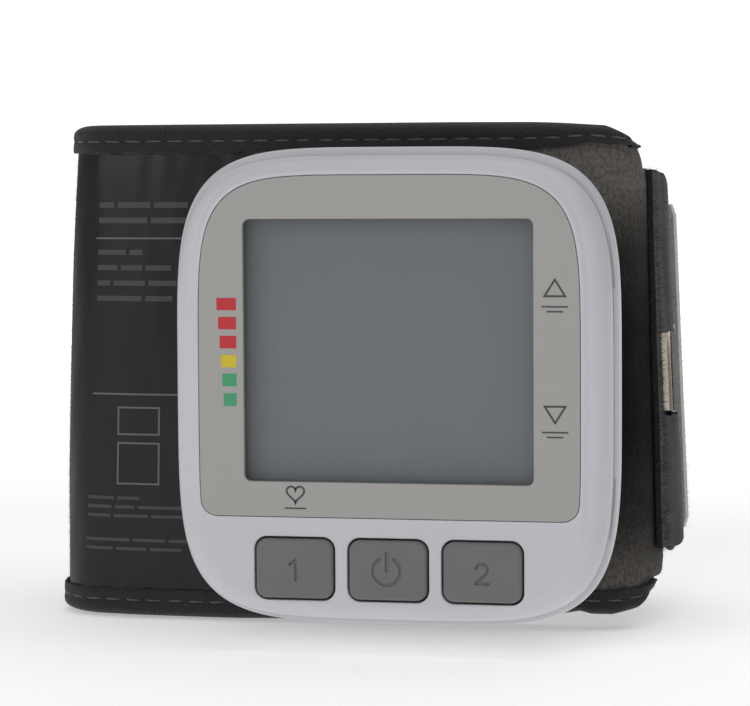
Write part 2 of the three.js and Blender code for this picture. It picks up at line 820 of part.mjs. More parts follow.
function airManifold() {
  const half = manifoldSize / 2;
  const right = manifoldLeftX + manifoldSize;
  return join(
    block([manifoldLeftX, right], [pumpY - half, pumpY + half], [pumpZ - half, pumpZ + half]),
    barX(pumpY, pumpZ, manifoldLeftX - nozzleLength, right + nozzleLength, nozzleRadius, 10),
    barY(manifoldX, pumpZ, pumpY - half - nozzleLength, caseDepth, nozzleRadius, 10),
  );
}

function releaseValve() {
  const half = valveSize / 2;
  return join(
    block([valveLeftX, valveLeftX + valveLength], [pumpY - half, pumpY + half], [pumpZ - half, pumpZ + half]),
    barX(pumpY, pumpZ, valveLeftX - nozzleLength, valveLeftX + nozzleRadius, nozzleRadius, 10),
  );
}

const sensorFront = boardRear + gap;
const sensorBack = sensorFront + sensorHeight;
const sensorNozzleEnd = pumpY - manifoldSize / 2 - nozzleLength - gap;
const pressureSensor = () =>
  join(
    block(
      [manifoldX - sensorSize / 2, manifoldX + sensorSize / 2],
      [sensorFront, sensorBack],
      [pumpZ - sensorSize / 2, pumpZ + sensorSize / 2],
    ),
    barY(manifoldX, pumpZ, sensorBack - nozzleRadius, sensorNozzleEnd, nozzleRadius, 10),
  );

const pumpTube = () => pipeX(pumpY, pumpZ, headRightX + gap, manifoldLeftX - gap, tubeInner, tubeOuter);
const valveTube = () =>
  pipeX(pumpY, pumpZ, manifoldLeftX + manifoldSize + gap, valveLeftX - gap, tubeInner, tubeOuter);
const sensorTube = () =>
  pipeY(manifoldX, pumpZ, sensorBack + gap, pumpY - manifoldSize / 2 - gap, tubeInner, tubeOuter);

function airInlet() {
  const tube = barY(manifoldX, pumpZ, inletFrontY, cuffScrewHeadY + inletFlangeThickness, tubeOuter);
  const flange = barY(manifoldX, pumpZ, cuffScrewHeadY, cuffScrewHeadY + inletFlangeThickness, inletFlangeRadius);
  const bore = barY(manifoldX, pumpZ, inletFrontY - overrun, cuffScrewHeadY + overrun, tubeInner);
  return cut(join(tube, flange), bore);
}

// The cuff

// The outside of the cuff seen from above, from its right end round the left to the back: shares of the
// loop's half width from its middle, and of its depth.
const loopShares = [
  [0.998, 0.34],
  [1, 0.208],
  [0.953, 0.088],
  [0.851, 0.02],
  [0.747, 0],
  [0.651, 0],
  [-0.159, 0],
  [-0.255, 0],
  [-0.521, 0.006],
  [-0.744, 0.022],
  [-0.879, 0.055],
  [-0.953, 0.128],
  [-0.987, 0.248],
  [-1, 0.442],
  [-0.974, 0.646],
  [-0.872, 0.819],
  [-0.681, 0.941],
  [-0.414, 0.994],
  [-0.137, 1],
  [0.161, 0.996],
  [0.416, 0.978],
];
const loopX = (share) => loopCentreX + share * loopHalfWidth;
const loopY = (share) => cuffY + share * loopDepth;

// A path seen from above as stations, each with its outward direction.
function curveThrough(points) {
  const flat = points.map(([x, y]) => new THREE.Vector3(x, y, 0));
  return new THREE.CatmullRomCurve3(flat, false, "centripetal");
}

function withOutward(places) {
  const last = places.length - 1;
  return places.map((place, i) => {
    const run = places[Math.min(i + 1, last)].clone().sub(places[Math.max(i - 1, 0)]).normalize();
    return { x: place.x, y: place.y, outX: -run.y, outY: run.x, share: i / last };
  });
}

// The cuff's stations lie closer together where it bends or narrows: each row is a share of its
// length and how many stations lead up to it.
const stationShares = [
  [0.03, 3],
  [0.1, 11],
  [0.14, 3],
  [0.33, 4],
  [0.46, 6],
  [0.57, 11],
  [0.85, 16],
  [1, 7],
];

function cuffPlaces() {
  const curve = curveThrough(loopShares.map(([xShare, yShare]) => [loopX(xShare), loopY(yShare)]));
  const shares = [0];
  for (const [end, count] of stationShares) {
    const start = shares.at(-1);
    for (let i = 1; i <= count; i++) shares.push(start + ((end - start) * i) / count);
  }
  curve.arcLengthDivisions = loopShares.length * shares.length;
  return withOutward(shares.map((share) => curve.getPointAt(share))).map((place, i) => ({
    ...place,
    share: shares[i],
  }));
}

const cuffStations = cuffPlaces();
const loopMiddleZ = (cuffTopZ + cuffBottomZ) / 2;

// The loop is a little wider at its foot than at its top.
function flared(x, y, z) {
  const scale = 1 - (loopFlare * (z - loopMiddleZ)) / ((cuffTopZ - cuffBottomZ) / 2);
  return new THREE.Vector3(loopCentreX + (x - loopCentreX) * scale, cuffY + (y - cuffY) * scale, z);
}

function between(table, share) {
  const next = table.findIndex(([at]) => at >= share);
  if (next <= 0) return table[Math.max(next, 0)][1];
  const [fromAt, from] = table[next - 1];
  const [toAt, to] = table[next];
  return from + ((to - from) * (share - fromAt)) / (toAt - fromAt);
}

// How far the upper edge drops and the lower edge rises along the cuff, as shares of its height.
const upperEdgeShares = [
  [0, 0.0944],
  [0.0394, 0.0944],
  [0.0493, 0.0815],
  [0.0591, 0.0517],
  [0.069, 0.022],
  [0.0768, 0.0103],
  [0.096, 0.0052],
  [0.138, 0.0013],
  [0.2, 0],
  [0.92, 0],
  [0.96, 0.05],
  [1, 0.12],
];
const lowerEdgeShares = [
  [0, 0.0906],
  [0.0394, 0.0906],
  [0.0443, 0.0854],
  [0.0542, 0.0621],
  [0.064, 0.0362],
  [0.0768, 0.031],
  [0.096, 0.0272],
  [0.138, 0.0207],
  [0.246, 0.009],
  [0.325, 0.0026],
  [0.37, 0],
  [0.92, 0],
  [0.96, 0.05],
  [1, 0.12],
];
// Where the velour is free to puff out, and how deep the lining lies.
const crownShares = [
  [0, 0],
  [0.035, 0],
  [0.07, 0.6],
  [0.1, 0.3],
  [0.12, 0],
  [0.37, 0],
  [0.43, 1],
  [0.54, 1],
  [0.66, 0.4],
  [0.72, 0],
  [1, 0],
];
const depthShares = [
  [0, 0],
  [0.02, 0],
  [0.09, 1],
  [0.88, 1],
  [0.97, 0],
  [1, 0],
];
const cuffHeight = cuffTopZ - cuffBottomZ;
const topEdge = (share) => cuffTopZ - between(upperEdgeShares, share) * cuffHeight;
const bottomEdge = (share) => cuffBottomZ + between(lowerEdgeShares, share) * cuffHeight;
const crownAt = (share) => between(crownShares, share) * velourCrown;
const liningAt = (share) => liningEndDepth + between(depthShares, share) * (liningDepth - liningEndDepth);

// A band along the stations: its section is a list of [distance outward, height], drawn at each station.
function band(places, section) {
  const sections = places.map(section);
  const loops = sections.map((points, i) =>
    points.map(([out, z]) => flared(places[i].x + out * places[i].outX, places[i].y + out * places[i].outY, z)),
  );
  return skin(loops, sections[0].map(([out, z]) => new THREE.Vector2(out, z)));
}

// A layer's section between two depths below the outside, with a crown on either face.
function layerSection(outer, inner, low, high, outerCrown, innerCrown, levels) {
  const heights = Array.from({ length: levels + 1 }, (_, i) => i / levels);
  const puff = (share) => 1 - (2 * share - 1) ** 2;
  const up = heights.map((share) => [outer + outerCrown * puff(share), low + share * (high - low)]);
  const down = heights.map((share) => [inner - innerCrown * puff(share), low + share * (high - low)]);
  return [...up, ...down.reverse()];
}

const part = (from, to) => cuffStations.filter((place) => place.share >= from && place.share <= to);

const throughCuff = (x, z, radius) =>
  barY(x, z, cuffY - overrun, cuffY + splintDepth + splintThickness + gap, radius, 12);

function cuffOuter() {
  const layer = band(cuffStations, ({ share }) =>
    layerSection(
      0,
      -velourThickness,
      bottomEdge(share) + layerTop,
      topEdge(share) - layerTop,
      crownAt(share),
      0,
      4,
    ),
  );
  const screwHoles = cuffScrewPlaces.map(([x, z]) => throughCuff(x, z, screwRadius + gap));
  return cut(layer, ...screwHoles, throughCuff(manifoldX, pumpZ, tubeOuter + gap));
}

const splintEnds = [0.1, 0.62];
function cuffSplint() {
  const layer = band(part(...splintEnds), ({ share }) =>
    layerSection(
      -splintDepth,
      -splintDepth - splintThickness,
      bottomEdge(share) + splintMargin,
      topEdge(share) - splintMargin,
      0,
      0,
      1,
    ),
  );
  const screwHoles = cuffScrewPlaces.map(([x, z]) => throughCuff(x, z, screwRadius + gap));
  return cut(layer, ...screwHoles, throughCuff(manifoldX, pumpZ, tubeOuter + gap));
}

const bladderEnds = [0.1, 0.86];
const airBladder = () =>
  band(part(...bladderEnds), ({ share }) =>
    layerSection(
      -bladderDepth,
      -bladderDepth - bladderThickness,
      bottomEdge(share) + bladderMargin,
      topEdge(share) - bladderMargin,
      0,
      0,
      1,
    ),
  );

const cuffLining = () =>
  band(cuffStations, ({ share }) =>
    layerSection(
      -liningAt(share),
      -liningAt(share) - liningThickness,
      bottomEdge(share) + layerTop,
      topEdge(share) - layerTop,
      0,
      liningCrown * between(depthShares, share),
      4,
    ),
  );

// An edge tape folded over all the layers. Up is 1 for the upper edge and -1 for the lower one.
const bindingStart = 0.045;
function edgeBinding(edge, up) {
  return band(part(bindingStart, 1), ({ share }) => {
    const edgeZ = edge(share);
    const outside = gap + bindingThickness;
    const inside = -liningAt(share) - liningThickness - gap;
    const webZ = edgeZ - up * bindingThickness;
    const endZ = edgeZ - up * bindingHeight;
    return [
      [outside, endZ],
      [outside, edgeZ],
      [inside - bindingThickness, edgeZ],
      [inside - bindingThickness, endZ],
      [inside, endZ],
      [inside, webZ],
      [gap, webZ],
      [gap, endZ],
    ];
  });
}

const filmEnds = [0.355, 0.507];
const printWindow = () =>
  band(part(...filmEnds), ({ share }) =>
    layerSection(
      gap + filmThickness,
      gap,
      bottomEdge(share) + bindingHeight + gap,
      topEdge(share) - bindingHeight - gap,
      crownAt(share),
      -crownAt(share),
      4,
    ),
  );

const cuffScrew = (x, z) =>
  screwY(
    x,
    z,
    innerBack - cuffBossLength + trayWall + gap,
    cuffScrewHeadY,
    cuffScrewHeadHeight,
    cuffScrewHeadRadius,
  );

// The ring end

// A body with an upright outline, seen from above, that follows the loop's flare.
function upright(outline, low, high) {
  const loops = [low, high].map((z) => outline.map(([x, y]) => flared(x, y, z)));
  return skin(loops, outline.map(([x, y]) => new THREE.Vector2(x, y)));
}

const circle = (x, y, radius, sides = 14) =>
  Array.from({ length: sides }, (_, i) => {
    const angle = (i / sides) * 2 * Math.PI;
    return [x + radius * Math.cos(angle), y + radius * Math.sin(angle)];
  });

function ringTab() {
  const outerLeg = [
    [tabCuffX, tabFrontY],
    [tabCuffX + tabThickness, tabFrontY],
    [frontBarX + tunnelRadius, frontBarY],
    [frontBarX + tunnelBore, frontBarY],
  ];
  const innerLeg = [
    [tabInsideX - tabThickness, tabFrontY + tabThickness],
    [tabInsideX, tabFrontY + tabThickness],
    [tabInsideX, tabInsideBendY],
    [frontBarX - tunnelBore, frontBarY],
    [frontBarX - tunnelRadius, frontBarY],
    [tabInsideX - tabThickness, tabInsideBendY],
  ];
  const tube = circle(frontBarX, frontBarY, tunnelRadius);
  const bore = circle(frontBarX, frontBarY, tunnelBore);
  const left = frontBarX - tunnelRadius - overrun;
  const right = frontBarX + tunnelRadius + overrun;
  const front = frontBarY - tunnelRadius - gap;
  const back = frontBarY + tunnelRadius + overrun;
  const rear = [
    [left, front],
    [right, front],
    [right, back],
    [left, back],
  ];
  const notch = [
    [left, front],
    [frontBarX, front],
    [frontBarX, notchFrontY],
    [right, notchFrontY],
    [right, back],
    [left, back],
  ];
  return cut(
    join(...[outerLeg, innerLeg, tube].map((outline) => upright(outline, tabBottomZ, tabTopZ))),
    upright(bore, tabBottomZ - overrun, tabTopZ + overrun),
    upright(notch, sleeveBottomZ - gap, sleeveTopZ + gap),
    upright(rear, ringTopZ - ringCorner, tabTopZ + overrun),
    upright(rear, tabBottomZ - overrun, ringBottomZ + ringCorner),
  );
}

// The wire ring, as a flat loop with round corners through its two upright bars.
function strapRing() {
  const run = Math.hypot(rearBarX - frontBarX, rearBarY - frontBarY);
  const outline = roundedRectangle(run, ringTopZ - ringBottomZ, ringCorner, run / 2, (ringTopZ + ringBottomZ) / 2);
  const centres = outline.map((p) => {
    const share = p.x / run;
    const x = frontBarX + share * (rearBarX - frontBarX);
    const y = frontBarY + share * (rearBarY - frontBarY);
    return flared(x, y, p.y);
  });
  return wire(centres, wireRadius, 10, true);
}

const ringSleeve = () =>
  cut(
    upright(circle(frontBarX, frontBarY, tunnelBore + sleeveThickness), sleeveBottomZ, sleeveTopZ),
    upright(circle(frontBarX, frontBarY, tunnelBore), sleeveBottomZ - overrun, sleeveTopZ + overrun),
  );

// The strap's middle line from inside the cuff to the ring, seen from above: shares as for the loop.
const strapInShares = [
  [0.225, 0.959],
  [0.416, 0.943],
  [0.587, 0.902],
  [0.736, 0.817],
  [0.842, 0.723],
  [0.917, 0.65],
  [0.962, 0.623],
];
// The strap's middle line from the ring back over the outside of the cuff.
const strapOutShares = [
  [0.911, 0.721],
  [0.817, 0.809],
  [0.71, 0.902],
  [0.565, 0.98],
  [0.395, 1.026],
  [0.182, 1.045],
  [-0.031, 1.047],
  [-0.244, 1.047],
];
const foldStart = -Math.PI / 6;
const foldEnd = Math.PI / 2;

function strapSection() {
  return layerSection(strapThickness / 2, -strapThickness / 2, strapBottomZ, strapTopZ, 0, 0, 1);
}

function strapBase() {
  const points = strapInShares.map(([xShare, yShare]) => [loopX(xShare), loopY(yShare)]);
  const curve = curveThrough([...points, [rearBarX - foldRadius / 4, rearBarY - foldRadius]]);
  return band(withOutward(curve.getSpacedPoints(16)), strapSection);
}

function strapStations() {
  const steps = 8;
  const fold = Array.from({ length: steps + 1 }, (_, i) => {
    const angle = foldStart + ((foldEnd - foldStart) * i) / steps;
    return new THREE.Vector3(rearBarX + foldRadius * Math.cos(angle), rearBarY + foldRadius * Math.sin(angle), 0);
  });
  const foldTop = fold.at(-1);
  const points = strapOutShares.map(([xShare, yShare]) => [loopX(xShare), loopY(yShare)]);
  const curve = curveThrough([[foldTop.x, foldTop.y], ...points]);
  return withOutward([...fold.slice(0, -1), ...curve.getSpacedPoints(20)]);
}

const strapEnd = () => band(strapStations(), strapSection);

const hookEnds = [0.68, 0.9];
const hookPatch = () => {
  const near = strapThickness / 2 + gap;
  const places = strapStations().filter(({ share }) => share >= hookEnds[0] && share <= hookEnds[1]);
  return band(places, () =>
    layerSection(near + hookThickness, near, strapBottomZ + hookMargin, strapTopZ - hookMargin, 0, 0, 1),
  );
};

// The tape folded over the strap's end.
function strapTip() {
  const end = strapStations().at(-1);
  const leg = strapThickness / 2 + gap;
  const outer = leg + tipThickness;
  const startX = end.x + tipLength;
  const outline = [
    [startX, end.y - outer],
    [startX, end.y - leg],
    [end.x - gap, end.y - leg],
    [end.x - gap, end.y + leg],
    [startX, end.y + leg],
    [startX, end.y + outer],
    [end.x - gap - tipThickness, end.y + outer],
    [end.x - gap - tipThickness, end.y - outer],
  ];
  return upright(outline, strapBottomZ, strapTopZ);
}

// Assembly

const unit = new THREE.Group();
const cuff = new THREE.Group();

function add(group, name, geometry, finish) {
  const [color, roughness, metalness] = finishes[finish];
  const material = new THREE.MeshStandardMaterial({ color, roughness, metalness, flatShading: true });
  const mesh = new THREE.Mesh(geometry, material);
  mesh.name = name;
  group.add(mesh);
}

add(unit, "front_housing", frontHousing(), "white_plastic");
add(unit, "face_panel", facePanel(), "panel_print");
add(unit, "display_lens", displayLens(), "clear");
add(unit, "lcd_glass", displayGlass(), "display");
add(unit, "lcd_holder", displayHolder(), "black_plastic");
const connectorZ = glassHeight / 2 - gap - connectorHeight / 2;
add(unit, "upper_lcd_connector", displayConnector(connectorZ), "rubber");
add(unit, "lower_lcd_connector", displayConnector(-connectorZ), "rubber");
add(unit, "main_board", mainBoard(), "board_green");
add(unit, "main_chip", mainChip(), "black_plastic");
add(unit, "buzzer", buzzerDisc(), "black_plastic");
boardScrewPlaces.forEach(([x, z], i) => add(unit, `board_screw_${i + 1}`, boardScrew(x, z), "steel"));
["first_memory", "power", "second_memory"].forEach((name, i) => {
  add(unit, `${name}_key`, keyCap(keyXs[i]), "key_plastic");
  add(unit, `${name}_switch`, keySwitch(keyXs[i]), "black_plastic");
});
add(unit, "rear_housing", rearHousing(), "white_plastic");
caseScrewPlaces.forEach(([x, z], i) => add(unit, `case_screw_${i + 1}`, caseScrew(x, z), "steel"));
add(unit, "battery_tray", batteryTray(), "white_plastic");
add(unit, "battery_door", batteryDoor(), "white_plastic");
add(unit, "door_contact", doorContact(), "bright_metal");
add(unit, "door_spring", coil(lowerCellZ, cellLeftX, cellLeftX + springLength), "steel");
add(
  unit,
  "cell_spring",
  coil(upperCellZ, rightContactX - gap - springLength, rightContactX - gap),
  "steel",
);
add(unit, "upper_cell_contact", cellContact(upperCellZ), "bright_metal");
add(unit, "lower_cell_contact", cellContact(lowerCellZ), "bright_metal");
add(unit, "upper_cell", cell(upperCellZ, cellLeftX, true), "cell_wrap");
add(unit, "lower_cell", cell(lowerCellZ, lowerCellLeftX, false), "cell_wrap");
add(unit, "pump_motor", pumpMotor(), "steel");
add(unit, "pump_head", pumpHead(), "black_plastic");
add(unit, "release_valve", releaseValve(), "black_plastic");
add(unit, "pressure_sensor", pressureSensor(), "grey_plastic");
add(unit, "air_manifold", airManifold(), "grey_plastic");
add(unit, "pump_tube", pumpTube(), "rubber");
add(unit, "valve_tube", valveTube(), "rubber");
add(unit, "sensor_tube", sensorTube(), "rubber");
add(unit, "air_inlet", airInlet(), "rubber");
add(cuff, "cuff_outer", cuffOuter(), "velour");
add(cuff, "cuff_splint", cuffSplint(), "grey_plastic");
add(cuff, "air_bladder", airBladder(), "rubber");
add(cuff, "cuff_lining", cuffLining(), "lining");
add(cuff, "upper_binding", edgeBinding(topEdge, 1), "woven_black");
add(cuff, "lower_binding", edgeBinding(bottomEdge, -1), "woven_black");
add(cuff, "print_window", printWindow(), "clear");
cuffScrewPlaces.forEach(([x, z], i) => add(cuff, `cuff_screw_${i + 1}`, cuffScrew(x, z), "steel"));
add(cuff, "ring_tab", ringTab(), "woven_black");
add(cuff, "strap_ring", strapRing(), "black_wire");
add(cuff, "ring_sleeve", ringSleeve(), "bright_metal");
add(cuff, "strap_base", strapBase(), "plush");
add(cuff, "strap_end", strapEnd(), "plush");
add(cuff, "hook_patch", hookPatch(), "hook_plastic");
add(cuff, "strap_tip", strapTip(), "woven_black");

// The part's origin is below its middle, on the surface that the cuff's lower edge stands on.
const monitor = new THREE.Group();
monitor.add(unit, cuff);
const box = new THREE.Box3().setFromObject(monitor, true);
const centre = box.getCenter(new THREE.Vector3());
monitor.position.set(-centre.x, -centre.y, -box.min.z);

export default monitor;
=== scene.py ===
"""Dresses the packed wrist blood pressure monitor: a display unit with three keys on a padded cuff."""

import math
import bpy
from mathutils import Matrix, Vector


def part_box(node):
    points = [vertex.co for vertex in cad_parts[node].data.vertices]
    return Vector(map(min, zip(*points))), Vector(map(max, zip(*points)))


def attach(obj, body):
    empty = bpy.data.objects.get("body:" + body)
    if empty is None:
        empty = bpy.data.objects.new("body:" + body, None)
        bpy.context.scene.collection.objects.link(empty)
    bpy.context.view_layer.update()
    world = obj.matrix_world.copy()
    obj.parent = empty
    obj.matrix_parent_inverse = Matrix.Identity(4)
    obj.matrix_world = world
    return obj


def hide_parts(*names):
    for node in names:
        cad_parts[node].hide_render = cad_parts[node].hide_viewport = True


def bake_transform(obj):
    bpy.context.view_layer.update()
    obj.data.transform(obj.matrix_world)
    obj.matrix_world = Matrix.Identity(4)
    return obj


bl_info = {
    "name": "Wrist Blood Pressure Monitor",
    "version": (1, 0, 0),
    "blender": (4, 5, 0),
    "location": "3D View > Sidebar > Monitor",
    "description": "Builds the case, display, keys, cuff and strap of a wrist blood pressure monitor",
    "category": "Object",
}

from functools import partial

import bmesh
import bpy
import numpy as np
from bpy.props import FloatProperty, FloatVectorProperty, IntProperty, PointerProperty
from mathutils import Matrix, Vector

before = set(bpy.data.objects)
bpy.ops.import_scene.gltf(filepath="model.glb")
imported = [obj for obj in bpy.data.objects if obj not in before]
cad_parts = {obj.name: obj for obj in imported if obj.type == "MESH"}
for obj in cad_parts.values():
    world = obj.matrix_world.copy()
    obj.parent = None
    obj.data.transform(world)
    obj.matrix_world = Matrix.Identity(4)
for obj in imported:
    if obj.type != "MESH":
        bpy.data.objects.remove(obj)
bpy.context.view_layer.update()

# Millimetres from the middle of the display window, on the face of the panel, to metres in the row frame
MM = 0.001
_low, _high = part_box("lcd_glass")
ORIGIN = np.array([(_low.x + _high.x) / 2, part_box("face_panel")[0].y, (_low.z + _high.z) / 2])

GAP = 0.3

# The case
CASE_HALF_WIDTH = 33.1
CASE_HALF_HEIGHT = 35
CASE_CENTRE_Z = -5.5
CASE_DEPTH = 28
CASE_ROUNDNESS = 4.6
CASE_WALL = 1.4
PARTING = 4
SIDE_STEP, TOP_STEP, BOTTOM_STEP = 0.75, 1.25, 1
RIM_WIDTH, RIM_HEIGHT = 3.9, 3.4
REAR_INSET = 9.5
REAR_START = PARTING + GAP
INNER_BACK = CASE_DEPTH - CASE_WALL
FACE_THICKNESS = 2.4
TONGUE_LENGTH = 1.4
TONGUE_THICKNESS = 0.5
RIM_SHARES = [(0, 1), (0.06, 0.72), (0.22, 0.42), (0.47, 0.2), (0.75, 0.06), (1, 0)]
GROOVE_END = 4.95
REAR_SHARES = [
    (0, 0, 1), (0.027, 0, 1), (0.05, 0, 0.25), (0.085, 0, 0.04), (0.16, 0.02, 0), (0.32, 0.07, 0),
    (0.49, 0.14, 0), (0.66, 0.26, 0), (0.8, 0.42, 0), (0.9, 0.62, 0), (0.97, 0.85, 0), (1, 1, 0),
]
CASE_SCREWS = [(-19.5, 23.9), (19.5, 23.9), (-24.9, -31.1), (24.9, -31.1)]
COLUMN_RADIUS = 3
WELL_RADIUS = 2.2
COLUMN_FRONT, COLUMN_FLOOR = 13, 14.5
CUFF_SCREWS = [(-16, 12), (16, 12), (-16, -27), (16, -27)]
# A screw's depths and radii, from the middle of its head to its tip
SCREW_PROFILE = [
    (15.95, 0.9), (15.88, 1.25), (15.7, 1.5), (15.45, 1.6), (14.8, 1.6), (14.8, 0.85), (8.2, 0.85), (7.5, 0.3)
]
BOSS_RADIUS, BORE_RADIUS = 2.1, 1.15
INLET_X, INLET_Z, INLET_RADIUS = 10.4, -17.5, 2.5
PRY_SLOTS = [(9.0, 22.5), (-27.6, -18.4)]
DOOR_Y, DOOR_Z = (6.9, 23.3), (-4.05, 18.35)
DOORWAY_X = -26.5
CELL_Y, CELL_Z, CELL_PITCH = 16.05, 7.15, 11
DOOR_PAD, DOOR_PAD_HALF = (-29.9, -28.5), 2.5
RIB_PLACES, RIB_HALF, RIB_RADIUS = (10.2, 11.9, 13.6, 15.3), 4.5, 0.34

# The panel, the window and the keys
PANEL_HALF_WIDTH, PANEL_HALF_HEIGHT = 28.1, 30.9
PANEL_ROUNDNESS = 5.3
PANEL_BOTTOM, PANEL_CORNER = -24.2, 2.4
PANEL_LINE = 0.1
PANEL_THICKNESS = 0.8
WINDOW_WIDTH, WINDOW_HEIGHT, WINDOW_CORNER = 42.76, 38.2, 1
LENS = (1.1, 1.9)
DISPLAY, DISPLAY_WIDTH, DISPLAY_HEIGHT = (3.8, 5.6), 46.0, 40.8
KEY_WIDTH, KEY_HEIGHT, KEY_CORNER = 12.06, 9.3, 1.87
KEY_PITCH, KEY_CENTRE_Z = 13.9, -31.76
KEY_PLACES = {"first_memory_key": -KEY_PITCH, "power_key": 0, "second_memory_key": KEY_PITCH}
KEY_HOLE = [(-1, -0.2), (0, -0.2), (0.03, -0.1), (0.1, -0.03), (0.22, 0), (FACE_THICKNESS + 1, 0)]
KEY_RISE, KEY_EDGE = 0.4, 0.5
KEY_FLANGE, KEY_OVERHANG, KEY_STEM_RADIUS, KEY_STEM = (2.7, 3.5), 0.45, 1.7, 1.9
LEGEND_DEPTH = 0.25
# Each range bar: its left end, top and foot, and its ink
RANGE_BARS = [
    (-25.34, 7.64, 5.84, "high_ink"), (-25.12, 4.88, 3.05, "high_ink"),
    (-24.91, 2.12, 0.28, "high_ink"), (-24.72, -0.66, -2.50, "middle_ink"),
    (-24.55, -3.39, -5.25, "low_ink"), (-24.37, -6.26, -8.14, "low_ink"),
]
RANGE_RIGHT = -22.4
INK_BACK, INK_FRONT = 0.015, -0.02
SIGN_STROKE, RULE_STROKE = 0.3, 0.24
# An arrow beside each reading, with two rules under it: its height, and whether it points up or down
SIGN_X, SIGN_PLACES = 24.5, ((9.15, 1), (-8.8, -1))
ARROW_HALF, ARROW_FOOT, ARROW_TIP = 1.5, 1.1, 1.25
RULE_HALVES, RULE_DROP, RULE_PITCH = (1.9, 1.2), 2.6, 0.7
HEART_X, HEART_Z, HEART_SIZE = -13.7, -20.75, 0.082
HEART_RULE = [(-15.3, -22.95), (-12.1, -22.95)]

# The cuff, whose outside follows a path seen from above
CUFF_TOP, CUFF_BOTTOM = 33.3, -44
CUFF_HEIGHT = CUFF_TOP - CUFF_BOTTOM
CUFF_Y = CASE_DEPTH + GAP
LOOP_HALF_WIDTH, LOOP_CENTRE_X, LOOP_DEPTH, LOOP_FLARE = 46.95, -13.55, 49.1, 0.03
LOOP_SHARES = [
    (0.998, 0.34), (1, 0.208), (0.953, 0.088), (0.851, 0.02), (0.747, 0), (0.651, 0), (-0.159, 0),
    (-0.255, 0), (-0.521, 0.006), (-0.744, 0.022), (-0.879, 0.055), (-0.953, 0.128), (-0.987, 0.248),
    (-1, 0.442), (-0.974, 0.646), (-0.872, 0.819), (-0.681, 0.941), (-0.414, 0.994), (-0.137, 1),
    (0.161, 0.996), (0.416, 0.978),
]
UPPER_EDGE = [
    (0, 0.094), (0.031, 0.093), (0.033, 0.077), (0.037, 0.065), (0.041, 0.054), (0.044, 0.05),
    (0.051, 0.04), (0.055, 0.033), (0.058, 0.026), (0.063, 0.02), (0.068, 0.015),
    (0.072, 0.011), (0.076, 0.008), (0.084, 0.007), (0.1, 0.005), (0.115, 0.003), (0.138, 0.001),
    (0.2, 0), (0.92, 0), (0.96, 0.05), (1, 0.12),
]
LOWER_EDGE = [
    (0, 0.091), (0.04, 0.091), (0.045, 0.085), (0.049, 0.068), (0.055, 0.06), (0.06, 0.042),
    (0.065, 0.034), (0.074, 0.03), (0.085, 0.025), (0.102, 0.027), (0.111, 0.033), (0.138, 0.021),
    (0.246, 0.009), (0.325, 0.003), (0.37, 0), (0.92, 0), (0.96, 0.05), (1, 0.12),
]
# How high the tapes' front legs end, by shares of the path
UPPER_TAPE = [
    (0, 29.3), (0.052, 29.4), (0.058, 29.5), (0.066, 29.7), (0.078, 29.8), (0.093, 30),
    (0.104, 29.8), (0.115, 29.4), (0.14, 29.1), (0.3, 29), (0.92, 28.9), (0.96, 25), (1, 19.6),
]
LOWER_TAPE = [
    (0, -37.1), (0.05, -37.1), (0.057, -37.5), (0.067, -37.8), (0.082, -38), (0.098, -38),
    (0.15, -38.6), (0.25, -39.2), (0.412, -39.5), (0.476, -39.6), (0.92, -39.6), (0.96, -35.7), (1, -30.3),
]
CROWN = [
    (0, 0), (0.035, 0), (0.07, 0.6), (0.1, 0.3), (0.12, 0), (0.37, 0), (0.43, 1), (0.54, 1),
    (0.66, 0.4), (0.72, 0), (1, 0),
]
LINING_DEPTH = [(0, 2.7), (0.02, 2.7), (0.09, 4.2), (0.88, 4.2), (0.97, 2.7), (1, 2.7)]
LINING_CROWN = [(0, 0), (0.02, 0), (0.09, 0.8), (0.88, 0.8), (0.97, 0), (1, 0)]
VELOUR_THICKNESS, VELOUR_CROWN = 0.7, 0.6
# Painted shade on the velour: the height of its middle and its reach, and the depths behind over which it
# fades
SHADE_MIDDLE, SHADE_REACH = 37, 32
SHADE_FADE_Y = (40, 54)
# Loose fibres stand thickest beyond these places at the left and right, within some distance
FUZZ_LEFT, FUZZ_RIGHT, FUZZ_LEAST = (-50, 6), (27, 5), 0.08
LINING_THICKNESS = 0.6
BINDING_THICKNESS, BINDING_HEIGHT, BINDING_START = 0.6, 4.4, 0.045
STITCH_ROW, STITCH_GROOVE, STITCH_GAP = 0.61, 0.24, 0.85
STITCH_WAVE = 2 * math.pi / 3.35
STITCH_SWAY, STITCH_GROOVE_WIDTH = 0.05, 0.32
# How far the tapes' sewn edges wander, by the size and the speed of each wave
TAPE_WANDER = ((0.07, 190), (0.05, 430))
TAPE_RISE, TAPE_EDGE = 1.5, 0.55
FIBRE_SIZES, FIBRE_TURN = (0.45, 1.15), 3.2
CLOTH_MARGIN = 1.6
VELOUR_WAVE, LINING_WAVE, FILM_WAVE, TAB_WAVE = 0.07, 0.12, 0.1, 0.12
CALM_SHARES, CALM_FACTOR = (0.11, 0.3), 0.2
PUCKER_DEPTH, PUCKER_TURNS, PUCKER_FADE = 0.14, 200, 14
FILM_ENDS, FILM_THICKNESS = (0.355, 0.51), 0.25
# The film's print: rules and empty frames by shares and heights, and rows of bars in place of lettering
FILM_RULES = [(0.395, 0.484, 15.6), (0.395, 0.484, -8.8)]
FILM_FRAMES = [(0.429, 0.463, -22.9, -16.5), (0.429, 0.463, -15.1, -10.9)]
FILM_STROKE = 0.26
